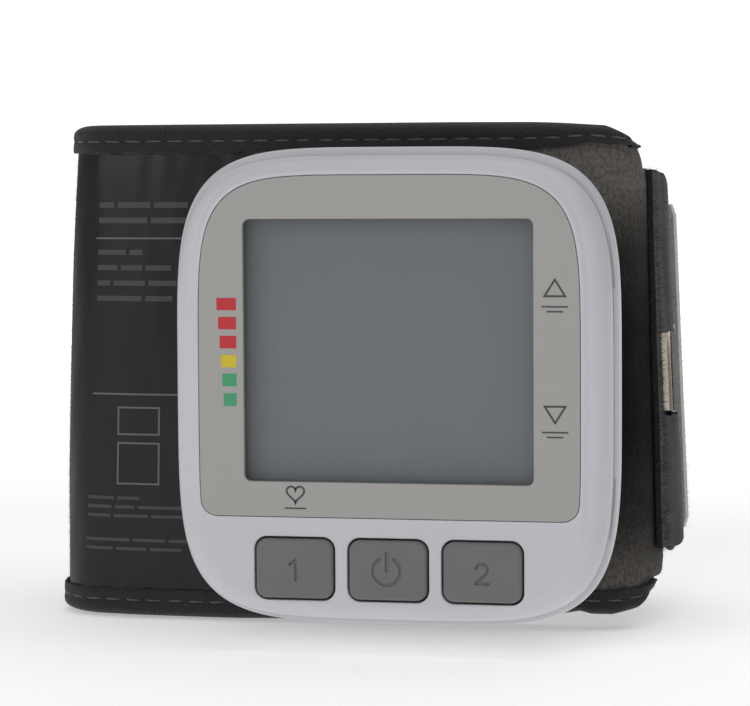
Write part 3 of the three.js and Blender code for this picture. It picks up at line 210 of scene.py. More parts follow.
# Each row: its height, how tall its bars are, the share at its left end and its bars' lengths
FILM_ROWS = [
    (20.8, 0.9, 0.482, (2.6, 5.6, 5.6)), (18.4, 0.9, 0.482, (8.3, 6.2)),
    (13.4, 0.8, 0.482, (4.8, 2.2)), (11.0, 0.8, 0.482, (3.4, 3.6, 4.2)),
    (8.6, 0.8, 0.482, (2.2, 5.3, 4.6)), (6.2, 0.8, 0.482, (7.6, 4.4)),
    (-25.2, 0.5, 0.487, (4.4, 3.6)), (-26.6, 0.5, 0.487, (4.0, 3.2, 7.4)),
    (-28.0, 0.5, 0.487, (3.8, 5.6, 5.0)), (-31.8, 0.5, 0.488, (7.2, 5.2, 4.0)),
    (-33.2, 0.5, 0.488, (4.4, 5.0, 5.0)),
]
FILM_WORD_GAP, FILM_FRAME_STEPS, FILM_SPANS = 0.6, 8, 600
BLADDER_ENDS, BLADDER_DEPTH, BLADDER_MARGIN = (0.1, 0.86), (2.9, 3.9), 10

# The ring, its tab and the strap
WIRE_RADIUS = 0.8
FRONT_BAR = np.array([33.4, 52.0])
REAR_BAR = np.array([33.1, 60.5])
RING_TOP, RING_BOTTOM, RING_CORNER = 24.4, -34.2, 1.5
TAB_THICKNESS = 0.9
TUNNEL_TOP, TUNNEL_BOTTOM = 22.9, -32.7
TAB_BEND, TAB_NOTCH, NOTCH_PAST_FOLD = 1.95, 40.9, 2.3
TAB_OUTER = [(33.95, 36.2), (34.1, 39.5), (34.2, 43)]
TAB_INNER = [(30.3, 47.6), (29.4, 44.4), (29.25, 40.6)]
# The tab's foot and top where it starts, how far they slope and where that takes them
TAB_FOOT, TAB_FOOT_SLOPE, TAB_FOLD_FOOT = -32.4, 1.3, -33.7
TAB_TOP, TAB_TOP_SLOPE, TAB_FOLD_TOP = 25.9, 0.8, 25.1
TAB_LEAN = 0.115
TAB_PULL_START, TAB_PULL_REACH = -22, 30
TAB_ROW_SHARE, TAB_ROWS = 0.33, ((-32.5, -16), (3, 23))
SLEEVE_TOP, SLEEVE_BOTTOM, SLEEVE_THICKNESS = 0.2, -12.4, 0.32
PRONG_LENGTH, PRONG_SPREAD, PRONG_HALF, PRONG_FADE = 1.25, 0.75, 0.55, 0.18
STRAP_THICKNESS = 1.4
STRAP_TOP, STRAP_BOTTOM = 20.2, -32
STRAP_ENDS = (STRAP_BOTTOM, STRAP_TOP)
FOLD_RADIUS = 1.8
STRAP_IN = [
    (0.225, 0.959), (0.416, 0.943), (0.587, 0.902), (0.736, 0.817), (0.842, 0.723), (0.917, 0.65),
    (0.962, 0.623),
]
STRAP_OUT = [
    (0.911, 0.721), (0.817, 0.809), (0.71, 0.902), (0.565, 0.98), (0.395, 1.026), (0.182, 1.045),
    (-0.031, 1.047), (-0.244, 1.047),
]
HOOK_ENDS, HOOK_MARGIN = (0.68, 0.9), 3
HOOK_BACK, HOOK_FACE = 1.0, 1.3
HOOK_PITCH, HOOK_ROW, HOOK_SHIFT = 0.85, 0.95, 0.3
HOOK_BEND = [(0, 0, 0), (0, 0, 0.24), (0.06, 0, 0.36), (0.16, 0, 0.4), (0.24, 0, 0.34)]
HOOK_WIDTHS = (0.06, 0.06, 0.06, 0.06, 0.03)
TIP_HALF, TIP_LENGTH, TIP_ROW, TIP_STITCH = 0.25, 6, 1.6, 2.4


def tint(name, description, default):
    """A colour that a user may change."""
    return FloatVectorProperty(name=name, description=description, subtype="COLOR", default=default)


def amount(name, description, default, **options):
    """A size or strength that a user may change."""
    return FloatProperty(name=name, description=description, default=default, **options)


class CaseLook(bpy.types.PropertyGroup):
    white: tint("White", "Colour of the case", (0.58, 0.575, 0.615))
    panel: tint("Panel", "Colour of the face plate", (0.38, 0.373, 0.36))
    key: tint("Keys", "Colour of the keys", (0.155, 0.155, 0.153))
    plateau: amount("Plateau", "How far the panel stands before the rim, in millimetres", 0.3)


class DisplayLook(bpy.types.PropertyGroup):
    glass: tint("Display", "Colour of the display at rest", (0.148, 0.168, 0.179))
    mark: tint("Marks", "Colour of the printed marks", (0.07, 0.068, 0.066))
    high: tint("High", "Colour of the high range", (0.52, 0.03, 0.04))
    middle: tint("Middle", "Colour of the middle range", (0.62, 0.5, 0.03))
    low: tint("Low", "Colour of the low range", (0.06, 0.33, 0.16))


class CuffLook(bpy.types.PropertyGroup):
    velour: tint("Velour", "Colour of the cuff's pile", (0.055, 0.051, 0.047))
    tape: tint("Tape", "Colour of the edge tapes", (0.017, 0.017, 0.019))
    stitch: amount("Stitch", "Length of a stitch", 0.0026, subtype="DISTANCE")
    pile: amount("Pile", "Length of the velour's loose fibres", 0.00045, subtype="DISTANCE")
    seed: IntProperty(name="Seed", description="Seed of everything that is scattered", default=7)


class StrapLook(bpy.types.PropertyGroup):
    plush: tint("Plush", "Colour of the strap", (0.72, 0.705, 0.68))
    pile: amount("Pile", "Length of the strap's fibres", 0.0009, subtype="DISTANCE")


class StageLook(bpy.types.PropertyGroup):
    behind: amount("Behind", "Strength of the light from behind", 1.15)
    front: amount("Front", "Strength of the light from the front", 0.24)
    glow: amount("Glow", "Light the floor gives by itself", 0.38)
    key: amount("Key", "Power of the light before the object", 2.2, subtype="POWER")
    above: amount("Above", "Power of the light above", 3.4, subtype="POWER")
    side: amount("Side", "Power of the light at the left", 1.3, subtype="POWER")


def look(name):
    return getattr(bpy.context.scene, name + "_look")


# Shader and geometry nodes


def feed(tree, item, socket):
    """Gives a socket a value or a link."""
    if isinstance(item, Value):
        tree.links.new(item.socket, socket)
    elif isinstance(item, tuple) and len(item) == 3 and socket.type == "RGBA":
        socket.default_value = (*item, 1)
    else:
        socket.default_value = item


def add_node(tree, kind, settings=None, sockets=None, output=0):
    """Adds a node, with its settings first and then the values or links of its sockets."""
    node = tree.nodes.new(kind)
    for name, value in (settings or {}).items():
        if name == "stops":
            ramp = node.color_ramp
            while len(ramp.elements) < len(value):
                ramp.elements.new(0.5)
            for element, (place, colour) in zip(ramp.elements, value):
                element.position = place
                element.color = (*colour, 1) if isinstance(colour, tuple) else (colour, colour, colour, 1)
        else:
            setattr(node, name, value)
    for name, item in (sockets or {}).items():
        feed(tree, item, node.inputs[name])
    return Value(tree, node.outputs[output])


class Value:
    """One value in a node tree. Sums and products of values add their own Math nodes."""

    def __init__(self, tree, socket):
        self.tree, self.socket = tree, socket

    def maths(self, operation, first, second=None):
        sockets = {0: first} if second is None else {0: first, 1: second}
        return add_node(self.tree, "ShaderNodeMath", {"operation": operation}, sockets)

    def __add__(self, other):
        return self.maths("ADD", self, other)

    __radd__ = __add__

    def __sub__(self, other):
        return self.maths("SUBTRACT", self, other)

    def __rsub__(self, other):
        return self.maths("SUBTRACT", other, self)

    def __mul__(self, other):
        return self.maths("MULTIPLY", self, other)

    __rmul__ = __mul__

    def __truediv__(self, other):
        return self.maths("DIVIDE", self, other)

    def sine(self):
        return self.maths("SINE", self)

    def size(self):
        return self.maths("ABSOLUTE", self)

    def larger(self, other):
        return self.maths("MAXIMUM", self, other)

    def above(self, other):
        return self.maths("GREATER_THAN", self, other)


class Finish:
    """A material in the making. Its places are in millimetres."""

    def __init__(self, name, **constants):
        self.material = bpy.data.materials.new(name)
        self.material.use_nodes = True
        self.tree = self.material.node_tree
        self.tree.nodes.clear()
        self.shader = self.tree.nodes.new("ShaderNodeBsdfPrincipled")
        output = self.tree.nodes.new("ShaderNodeOutputMaterial")
        self.tree.links.new(self.shader.outputs[0], output.inputs[0])
        self.set(**constants)

    def set(self, **items):
        for name, item in items.items():
            feed(self.tree, item, self.shader.inputs[name.replace("_", " ").title().replace("Ior", "IOR")])
        return self.material

    def node(self, kind, settings=None, sockets=None, output=0):
        return add_node(self.tree, kind, settings, sockets, output)

    def place(self, x=1, y=1, z=1):
        """The place on the object, with each direction stretched by its factor."""
        coordinates = self.node("ShaderNodeTexCoord", output="Object")
        factors = (x / MM, y / MM, z / MM)
        return self.node("ShaderNodeVectorMath", {"operation": "MULTIPLY"}, {0: coordinates, 1: factors})

    def along(self):
        return self.node("ShaderNodeUVMap", {"uv_map": "along"})

    def parts(self, vector):
        node = self.tree.nodes.new("ShaderNodeSeparateXYZ")
        feed(self.tree, vector, node.inputs[0])
        return [Value(self.tree, socket) for socket in node.outputs]

    def noise(self, where, size, detail=2, roughness=0.5):
        """Noise whose features are about size millimetres wide."""
        sockets = {"Vector": where, "Scale": 1 / size, "Detail": detail, "Roughness": roughness}
        return self.node("ShaderNodeTexNoise", None, sockets)

    def ramp(self, value, *stops):
        return self.node("ShaderNodeValToRGB", {"stops": stops}, {"Fac": value})

    def mix(self, share, first, second):
        return self.node("ShaderNodeMix", {"data_type": "RGBA"}, {0: share, 6: first, 7: second}, output=2)

    def varied(self, share, colour, dark, light):
        """Goes from a darker to a lighter shade of a colour."""
        return self.mix(share, shade(colour, dark), shade(colour, light))

    def bump(self, height, depth, strength=1):
        """Depth is the height's full swing in millimetres."""
        sockets = {"Height": height, "Distance": depth * MM, "Strength": strength}
        return self.node("ShaderNodeBump", None, sockets)


def shade(colour, factor):
    return tuple(min(1, channel * factor) for channel in colour[:3])


def moulded(name, colour, roughness, grain=0.35, depth=0.006, shaded_span=None):
    """Moulded plastic: a fine spark-eroded grain, faint flow marks and a little uneven gloss."""
    made = Finish(name, specular_ior_level=0.45)
    where = made.place()
    flow = made.noise(where, 14)
    fine = made.noise(where, grain, 3, 0.6)
    tone = made.varied(flow, colour, 0.96, 1.04)
    # Painted shade: the band between the two depths is darkened towards 0.3 of the colour
    if shaded_span:
        y = made.parts(where)[1]
        middle, half = np.mean(shaded_span) + ORIGIN[1] / MM, np.ptp(shaded_span) / 2
        away = (y - middle).size() / half * 0.5
        tone = made.mix(made.ramp(away, (0.515, 0.0), (0.55, 1.0)), shade(colour, 0.3), tone)
    return made.set(
        base_color=tone,
        roughness=roughness + (fine - 0.5) * 0.12 + (flow - 0.5) * 0.06,
        normal=made.bump(fine, depth),
    )


def case_white():
    """White plastic, darker in the groove between the two housings, where dirt and shade gather."""
    return moulded("case_white", look("case").white, 0.36, shaded_span=(PARTING, GROOVE_END))


def key_grey():
    made = Finish("key_grey", specular_ior_level=0.35, sheen_weight=0.1, sheen_roughness=0.6)
    where = made.place()
    wear = made.noise(where, 5, 3)
    grain = made.noise(where, 0.22, 3, 0.7)
    return made.set(
        base_color=made.varied(wear, look("case").key, 0.93, 1.06),
        roughness=0.56 + (grain - 0.5) * 0.15,
        normal=made.bump(grain, 0.012),
    )


def panel_grey():
    colour = look("case").panel
    made = Finish("panel_grey", specular_ior_level=0.4)
    where = made.place()
    speck = made.noise(where, 0.18, 3, 0.7)
    cloud = made.noise(where, 11)
    tone = made.varied(speck, colour, 0.965, 1.03)
    return made.set(
        base_color=made.mix(cloud * 0.35, tone, shade(colour, 0.95)),
        roughness=0.5 + (speck - 0.5) * 0.1,
        normal=made.bump(speck, 0.004),
    )


def window_clear():
    made = Finish("window_clear", base_color=(0.35, 0.37, 0.38), specular_ior_level=0.5, ior=1.49)
    haze = made.noise(made.place(), 6)
    return made.set(alpha=0.1 + haze * 0.04, roughness=0.08 + haze * 0.06)


def display_grey():
    """The display at rest, a little lighter towards its top."""
    colour = look("display").glass
    made = Finish("display_grey", specular_ior_level=0.4)
    where = made.place()
    film = made.noise(where, 0.5)
    ends = {"From Min": 25.0, "From Max": 63.0, "To Min": 0.0, "To Max": 1.0}
    fall = made.node("ShaderNodeMapRange", None, {"Value": made.parts(where)[2], **ends})
    tone = made.varied(fall, colour, 0.985, 1.015)
    return made.set(
        base_color=made.mix(film * 0.5, shade(colour, 0.98), tone),
        roughness=0.42 + (film - 0.5) * 0.05,
        normal=made.bump(film, 0.001),
    )


def print_ink(name, colour):
    made = Finish(name, specular_ior_level=0.4)
    grain = made.noise(made.place(), 0.12, 3, 0.7)
    return made.set(
        base_color=made.varied(grain, colour, 0.9, 1.1),
        roughness=0.5 + (grain - 0.5) * 0.1,
        normal=made.bump(grain, 0.004),
    )


def rubbed_metal(name, colour, roughness):
    """Metal with drawn streaks and a little uneven polish."""
    made = Finish(name)
    streaks = made.noise(made.place(1 / 0.3, 1 / 0.3, 1 / 3), 1, 3, 0.6)
    dull = made.noise(made.place(), 2.5)
    return made.set(
        base_color=made.varied(dull, colour, 0.8, 1.08),
        metallic=1.0,
        roughness=roughness + (streaks - 0.5) * 0.2,
        normal=made.bump(streaks, 0.006),
    )


def velour_pile():
    """Short brushed pile: it leans another way in patches, and lies flat and dark by the case's middle."""
    colour = look("cuff").velour
    made = Finish("velour_pile", specular_ior_level=0.06, sheen_weight=0.04, sheen_roughness=0.6)
    made.set(sheen_tint=(0.8, 0.76, 0.7, 1))
    where = made.place()
    # Painted light and shade: the pile goes from 0.1 of its colour in the painted shade to 2.7 times it where
    # painted light falls
    flat_or_shade = painted_light_share(made, where)
    lean = made.noise(where, 7, 3, 0.6)
    tuft = made.noise(made.place(z=0.8), 0.6, 3, 0.7)
    hair = made.noise(made.place(z=0.7), 0.26, 2, 0.8)
    tone = made.varied(flat_or_shade, colour, 0.1, 2.7)
    light = made.varied(flat_or_shade, colour, 0.6, 3.4)
    dark = made.varied(flat_or_shade, colour, 0.05, 1.0)
    tone = made.mix(made.ramp(lean, (0.35, 0.0), (0.65, 0.3)), tone, light)
    tone = made.mix(made.ramp(tuft, (0.4, 0.0), (0.62, 0.7)), tone, dark)
    tone = made.mix(made.ramp(hair, (0.5, 0.0), (0.74, 0.6)), tone, light)
    height = tuft * 0.6 + hair * 0.4
    return made.set(base_color=tone, roughness=0.95, normal=made.bump(height, 0.5, 0.9))


def painted_light_share(made, where):
    """How far the pile stands: flat at the case's right, wholly up at the top, the foot and behind."""
    x, y, z = made.parts(where)
    reach = ((z - SHADE_MIDDLE) / SHADE_REACH).size()
    up = made.ramp(reach, (0.25, 0.0), (0.64, 0.14), (0.78, 0.4), (0.96, 1.0))
    start, end = SHADE_FADE_Y
    behind = made.ramp((y - (start + ORIGIN[1] / MM)) / (end - start), (0.0, 0.0), (1.0, 0.62))
    left = made.ramp((x - ORIGIN[0] / MM) * -0.1, (0.0, 0.0), (1.0, 0.62))
    return up.larger(behind).larger(left)


def fibre(name, colour, flat_or_shade=1.0):
    """Loose threads. Flat pile is as much darker as flat says."""
    made = Finish(name, specular_ior_level=0.15, sheen_weight=0.3 * flat_or_shade, sheen_roughness=0.5)
    where = made.place()
    tone = made.varied(made.noise(where, 1.1), colour, 0.6, 1.5)
    # Painted shade: the velour's painted shade mask also darkens the fibres
    tone = made.mix(painted_light_share(made, where), shade(colour, flat_or_shade), tone)
    return made.set(base_color=tone, roughness=0.9)


def woven(name, colour, warp, weft, depth, shaded_until=None):
    """Woven tape: threads cross at right angles in a fine twill. A rough strip along its start is darker."""
    made = Finish(name, specular_ior_level=0.3, sheen_weight=0.08, sheen_roughness=0.5)
    where = made.along()
    u, v = made.parts(where)[:2]
    wobble = made.noise(where, 1.6)
    across = (u * (math.tau / weft) + v * (math.tau / warp * 0.5) + wobble * 0.8).sine()
    down = (v * (math.tau / warp) + wobble * 0.5).sine()
    thread = across * down * 0.5 + 0.5
    fuzz = made.noise(where, 0.16, 3, 0.7)
    dust = made.noise(where, 9, 3, 0.6)
    tone = made.varied(thread, colour, 0.35, 1.6)
    tone = made.mix(made.ramp(dust, (0.45, 0.0), (0.7, 0.4)), tone, shade(colour, 1.6))
    tone = made.mix(fuzz * 0.4, tone, shade(colour, 0.6))
    # Painted shade: the strip along the tape's start is darkened to 0.3 of its colour
    if shaded_until is not None:
        edge = made.ramp((u - shaded_until) * 0.12 + (dust - 0.5) * 0.5 + 0.5, (0.3, 0.0), (0.7, 1.0))
        tone = made.mix(edge, shade(colour, 0.3), tone)
    return made.set(
        base_color=tone,
        roughness=0.6 + fuzz * 0.2,
        normal=made.bump(thread + fuzz * 0.4, depth),
    )


def knit():
    """The lining's fine knit: columns of small loops."""
    made = Finish("knit", specular_ior_level=0.2, sheen_weight=0.15, sheen_roughness=0.5)
    where = made.along()
    u, v = made.parts(where)[:2]
    column = (v * (math.tau / 0.9)).sine()
    loop = (u * (math.tau / 0.7) + column.size() * 2.2).sine()
    height = column * 0.5 + loop * 0.5
    fuzz = made.noise(where, 0.2, 3, 0.7)
    shadow = made.noise(where, 15, 3)
    colour = (0.045, 0.046, 0.052)
    tone = made.varied(height * 0.5 + 0.5, colour, 0.45, 1.25)
    return made.set(
        base_color=made.mix(shadow * 0.4, tone, shade(colour, 0.8)),
        roughness=0.85 + fuzz * 0.1,
        normal=made.bump(height + fuzz * 0.5, 0.12),
    )


def clear_film():
    """Clear plastic film: soft waves in its gloss, and a little dust."""
    made = Finish("clear_film", specular_ior_level=0.3, ior=1.5)
    where = made.place()
    wave = made.noise(where, 16)
    dust = made.noise(where, 0.35, 4, 0.7)
    specks = made.ramp(dust, (0.6, 0.0), (0.8, 1.0))
    return made.set(
        base_color=made.mix(specks, (0.012, 0.012, 0.012), (0.03, 0.03, 0.029)),
        alpha=0.93 + (dust - 0.5) * 0.03,
        roughness=0.26 + wave * 0.12,
        normal=made.bump(wave, 0.16),
    )


def hook_nylon():
    made = Finish("hook_nylon", specular_ior_level=0.4)
    where = made.place()
    tone = made.noise(where, 1.4)
    return made.set(
        base_color=made.mix(tone, (0.02, 0.02, 0.022), (0.05, 0.05, 0.052)),
        roughness=0.4 + tone * 0.2,
        normal=made.bump(made.noise(where, 0.2), 0.02),
    )


def circuit_board():
    made = Finish("circuit_board", specular_ior_level=0.5, coat_roughness=0.2)
    sockets = {"Vector": made.place(y=0.05), "Scale": 0.45}
    cells = made.node("ShaderNodeTexVoronoi", {"distance": "MANHATTAN"}, sockets)
    trace = made.ramp(cells, (0.42, 0.0), (0.46, 1.0))
    tone = made.mix(trace, (0.012, 0.09, 0.035), (0.03, 0.17, 0.07))
    return made.set(base_color=tone, roughness=0.4, coat_weight=0.3, normal=made.bump(trace, 0.02))


def cell_wrap():
    """A cell's printed sleeve: a dark band by one end, with a shrink seam."""
    made = Finish("cell_wrap", specular_ior_level=0.5, metallic=0.25)
    where = made.place()
    band_share = (made.parts(where)[0] - ORIGIN[0] / MM - 4).above(0)
    fine = made.noise(where, 0.8)
    tone = made.mix(band_share, (0.05, 0.1, 0.19), (0.45, 0.3, 0.1))
    return made.set(
        base_color=made.mix(fine * 0.2, tone, (0.3, 0.3, 0.3)),
        roughness=0.3 + fine * 0.1,
        normal=made.bump(fine, 0.01),
    )


def strap_plush():
    """Brushed loop pile, lighter than the cuff's velour."""
    colour = look("strap").plush
    made = Finish("plush", specular_ior_level=0.1, sheen_weight=0.3, sheen_roughness=0.5)
    where = made.place()
    lean = made.noise(where, 6, 3, 0.6)
    tuft = made.noise(where, 0.55, 3, 0.75)
    tone = made.mix(tuft, shade(colour, 0.6), made.varied(lean, colour, 0.85, 1.12))
    return made.set(base_color=tone, roughness=0.95, normal=made.bump(tuft, 0.4, 0.8))


# Each finish by its name: what makes it, and what that is given after the name
FINISHES = {
    "case_white": (case_white,),
    "key_grey": (key_grey,),
    "panel_grey": (panel_grey,),
    "window_clear": (window_clear,),
    "display_grey": (display_grey,),
    "mark_ink": (print_ink, lambda: look("display").mark),
    "high_ink": (print_ink, lambda: look("display").high),
    "middle_ink": (print_ink, lambda: look("display").middle),
    "low_ink": (print_ink, lambda: look("display").low),
    "film_bar": (print_ink, (0.05, 0.05, 0.049)),
    "film_ink": (print_ink, (0.13, 0.13, 0.13)),
    "velour_pile": (velour_pile,),
    # The velour's fibres are darkened to 0.15 of their colour in the pile's painted shade
    "velour_fibre": (fibre, lambda: shade(look("cuff").velour, 1.8), 0.15),
    "plush_fibre": (fibre, lambda: shade(look("strap").plush, 1.25)),
    "tape": (woven, lambda: look("cuff").tape, 0.62, 0.66, 0.12),
    # The tab's first 13.5 mm carry painted shade
    "tab_weave": (woven, lambda: shade(look("cuff").tape, 1.8), 0.4, 0.42, 0.05, 13.5),
    "tab_fibre": (fibre, lambda: shade(look("cuff").tape, 0.9)),
    "thread": (fibre, (0.1, 0.097, 0.09)),
    "plush": (strap_plush,),
    "knit": (knit,),
    "clear_film": (clear_film,),
    "hook_nylon": (hook_nylon,),
    "black_plastic": (moulded, (0.02, 0.02, 0.022), 0.5),
    "grey_plastic": (moulded, (0.27, 0.28, 0.3), 0.5),
    "rubber": (moulded, (0.035, 0.036, 0.04), 0.75, 0.5, 0.02),
    "bladder_skin": (moulded, (0.05, 0.052, 0.056), 0.55, 0.8, 0.03),
    "steel": (rubbed_metal, (0.42, 0.43, 0.45), 0.34),
    "bright_metal": (rubbed_metal, (0.62, 0.55, 0.46), 0.3),
    "black_wire": (rubbed_metal, (0.05, 0.05, 0.055), 0.35),
    "circuit_board": (circuit_board,),
    "cell_wrap": (cell_wrap,),
}
finishes = {}


def finish(name):
    """The named material, made when it is first asked for."""
    if name not in finishes:
        make, *given = FINISHES[name]
        given = [item() if callable(item) else item for item in given]
        finishes[name] = make(name, *given) if given else make()
    return finishes[name]


# Mesh helpers


def to_row(points):
    return np.asarray(points, float) * MM + ORIGIN


def placed(name, data):
    """A new object in the scene."""
    made = bpy.data.objects.new(name, data)
    bpy.context.scene.collection.objects.link(made)
    return made


def mesh_object(name, points, faces, material, uv=None, smooth=True, sharp=32):
    """A mesh from places in millimetres, with its faces turned outwards."""
    mesh = bpy.data.meshes.new(name)
    mesh.from_pydata(to_row(points).tolist(), [], [list(map(int, face)) for face in faces])
    if uv is not None:
        index = np.empty(len(mesh.loops), int)
        mesh.loops.foreach_get("vertex_index", index)
        mesh.uv_layers.new(name="along").data.foreach_set("uv", np.asarray(uv, float)[index].ravel())
    work = bmesh.new()
    work.from_mesh(mesh)
    bmesh.ops.recalc_face_normals(work, faces=work.faces)
    work.to_mesh(mesh)
    work.free()
    mesh.materials.append(finish(material))
    made = placed(name, mesh)
    return smoothed(made, sharp) if smooth else made


def smoothed(made, sharp=60):
    mesh = made.data
    mesh.polygons.foreach_set("use_smooth", [True] * len(mesh.polygons))
    mesh.set_sharp_from_angle(angle=math.radians(sharp))
    return made


def remove(*made):
    """Takes helper objects away, with their data."""
    for item in made:
        data = item.data
        bpy.data.objects.remove(item)
        if not data.users:
            (bpy.data.curves if isinstance(data, bpy.types.Curve) else bpy.data.meshes).remove(data)


def evaluated_mesh(made):
    bpy.context.view_layer.update()
    graph = bpy.context.evaluated_depsgraph_get()
    host = made.evaluated_get(graph)
    return bpy.data.meshes.new_from_object(host, preserve_all_data_layers=True, depsgraph=graph)


def modified(made, *kinds):
    """Makes modifiers, each a kind with its settings, part of the object's mesh."""
    for kind, settings in kinds:
        modifier = made.modifiers.new(kind.lower(), kind)
        for name, value in settings.items():
            setattr(modifier, name, value)
    mesh, old = evaluated_mesh(made), made.data
    made.modifiers.clear()
    made.data = mesh
    mesh.name = made.name
    bpy.data.meshes.remove(old)
    return made


def bevel(width, segments, angle):
    """The settings of a bevel on edges sharper than an angle."""
    width, angle = width * MM, math.radians(angle)
    return "BEVEL", {"width": width, "segments": segments, "limit_method": "ANGLE", "angle_limit": angle}


def shaped(made, tool, operation="DIFFERENCE"):
    """Cuts, joins or crosses the object with a tool, which is used up."""
    modified(made, ("BOOLEAN", {"operation": operation, "solver": "EXACT", "object": tool}))
    remove(tool)


def evened(made, sharp=32):
    """Keeps flat faces flat where they meet a rounded edge."""
    smoothed(made, sharp)
    return modified(made, ("WEIGHTED_NORMAL", {"mode": "FACE_AREA", "weight": 50, "keep_sharp": True}))


def joined(name, pieces):
    """One object from several, with their materials kept."""
    work = bmesh.new()
    materials = []
    for piece in pieces:
        offset = {}
        for i, material in enumerate(piece.data.materials):
            if material not in materials:
                materials.append(material)
            offset[i] = materials.index(material)
        first = len(work.faces)
        work.from_mesh(piece.data)
        work.faces.ensure_lookup_table()
        for face in work.faces[first:]:
            face.material_index = offset.get(face.material_index, 0)
    mesh = bpy.data.meshes.new(name)
    work.to_mesh(mesh)
    work.free()
    for material in materials:
        mesh.materials.append(material)
    remove(*pieces)
    return placed(name, mesh)


def loft(rings, closed=False):
    """Points and faces of a skin over rings of as many points each, with filled ends unless it's closed."""
    count, total = len(rings[0]), len(rings)
    faces = []
    for r in range(total if closed else total - 1):
        here, there = r * count, (r + 1) % total * count
        for i in range(count):
            j = (i + 1) % count
            faces.append((here + i, here + j, there + j, there + i))
    if not closed:
        faces.append(tuple(range(count))[::-1])
        faces.append(tuple(range((total - 1) * count, total * count)))
    return np.vstack(rings), faces


def skin(name, rings, material, closed=False, **options):
    """An object with a skin over rings."""
    return mesh_object(name, *loft(rings, closed), material, **options)


def evenly(points, count, closed=True):
    """Resamples a polyline so that its points lie equally far apart."""
    points = np.asarray(points, float)
    if closed:
        points = np.vstack([points, points[:1]])
    run = np.r_[0, np.cumsum(np.linalg.norm(np.diff(points, axis=0), axis=1))]
    at = np.linspace(0, run[-1], count + 1)[:-1] if closed else np.linspace(0, run[-1], count)
    return np.column_stack([np.interp(at, run, points[:, k]) for k in range(points.shape[1])])


def oval(half_width, top, bottom, roundness, count):
    """A superellipse, whose corners are the squarer the higher its roundness is."""
    angles = (np.arange(1600) + 0.5) / 1600 * 2 * np.pi
    bulge = lambda v: np.sign(v) * np.abs(v) ** (2 / roundness)
    x = half_width * bulge(np.cos(angles))
    z = (top + bottom) / 2 + (top - bottom) / 2 * bulge(np.sin(angles))
    return evenly(np.column_stack([x, z]), count)


def at_depth(outline, y):
    """Turns places in X and Z into places in space."""
    outline = np.asarray(outline)
    return np.column_stack([outline[:, 0], np.full(len(outline), float(y)), outline[:, 1]])


def circle(angles):
    """Places on a circle of one millimetre at angles in radians."""
    return np.column_stack([np.cos(angles), np.sin(angles)])


def round_rectangle(width, height, corner, x=0.0, z=0.0, steps=10):
    points = []
    for quarter in range(4):
        right = 1 if quarter in (0, 3) else -1
        up = 1 if quarter < 2 else -1
        for step in range(steps + 1):
            angle = (quarter + step / steps) * math.pi / 2
            across = x + right * (width / 2 - corner) + corner * math.cos(angle)
            points.append((across, z + up * (height / 2 - corner) + corner * math.sin(angle)))
    return np.array(points)


def slab(name, outline_at, profile, material):
    """A plate whose edge follows a profile of (depth, inset) pairs."""
    return skin(name, [at_depth(outline_at(-inset), y) for y, inset in profile], material)


def bar(start, end, radius, sides):
    """A round bar between two places."""
    start, end = np.array(start, float), np.array(end, float)
    run = (end - start) / np.linalg.norm(end - start)
    guide = np.array([0, 0, 1.0]) if abs(run[2]) < 0.9 else np.array([1.0, 0, 0])
    across = np.cross(guide, run)
    across /= np.linalg.norm(across)
    ring = radius * circle(np.arange(sides) / sides * 2 * np.pi) @ [across, np.cross(run, across)]
    return skin("bar", [start + ring, end + ring], "case_white")


def bore(x, z, start, end, radius, sides=40):
    """A round bar from front to back."""
    return bar((x, start, z), (x, end, z), radius, sides)


def block(name, x, y, z, material="case_white"):
    corners = [(x[0], z[0]), (x[1], z[0]), (x[1], z[1]), (x[0], z[1])]
    return skin(name, [at_depth(corners, depth) for depth in y], material, smooth=False)


def softstep(value):
    share = np.clip(value, 0, 1)
    return share * share * (3 - 2 * share)


def curve_through(points, per=40):
    """A centripetal Catmull-Rom curve as a fine polyline."""
    points = np.asarray(points, float)
    ends = [2 * points[0] - points[1]], [2 * points[-1] - points[-2]]
    padded = np.vstack([ends[0], points, ends[1]])
    out = []
    for i in range(1, len(padded) - 2):
        p0, p1, p2, p3 = padded[i - 1 : i + 3]
        d0, d1, d2 = (max(np.linalg.norm(b - a) ** 0.5, 1e-6) for a, b in ((p0, p1), (p1, p2), (p2, p3)))
        t1 = ((p1 - p0) / d0 - (p2 - p0) / (d0 + d1) + (p2 - p1) / d1) * d1
        t2 = ((p2 - p1) / d1 - (p3 - p1) / (d1 + d2) + (p3 - p2) / d2) * d1
        u = np.linspace(0, 1, per, endpoint=False)[:, None]
        out.append(p1 + t1 * u + (-3 * p1 + 3 * p2 - 2 * t1 - t2) * u**2 + (2 * p1 - 2 * p2 + t1 + t2) * u**3)
    return np.vstack(out + [points[-1:]])


def keep(made, body, slot, *nodes):
    """Says which body the piece moves with, its finish and the nodes it stands for."""
    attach(made, body)
    if nodes:
        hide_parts(*nodes)


# The display unit


def case_ring(y, side, top, bottom):
    low, high = CASE_CENTRE_Z - CASE_HALF_HEIGHT, CASE_CENTRE_Z + CASE_HALF_HEIGHT
    return at_depth(oval(CASE_HALF_WIDTH - side, high - top, low + bottom, CASE_ROUNDNESS, 288), y)


def rim_ring(y, share):
    steps = ((SIDE_STEP, RIM_WIDTH), (TOP_STEP, RIM_HEIGHT), (BOTTOM_STEP, RIM_HEIGHT))
    return case_ring(y, *(step + share * (rim - step) for step, rim in steps))


def stepped_ring(y, inset, step=1):
    """The case's ring at a depth: inset, and set in by the parting line's steps where step is 1."""
    return case_ring(y, inset + step * SIDE_STEP, inset + step * TOP_STEP, inset + step * BOTTOM_STEP)


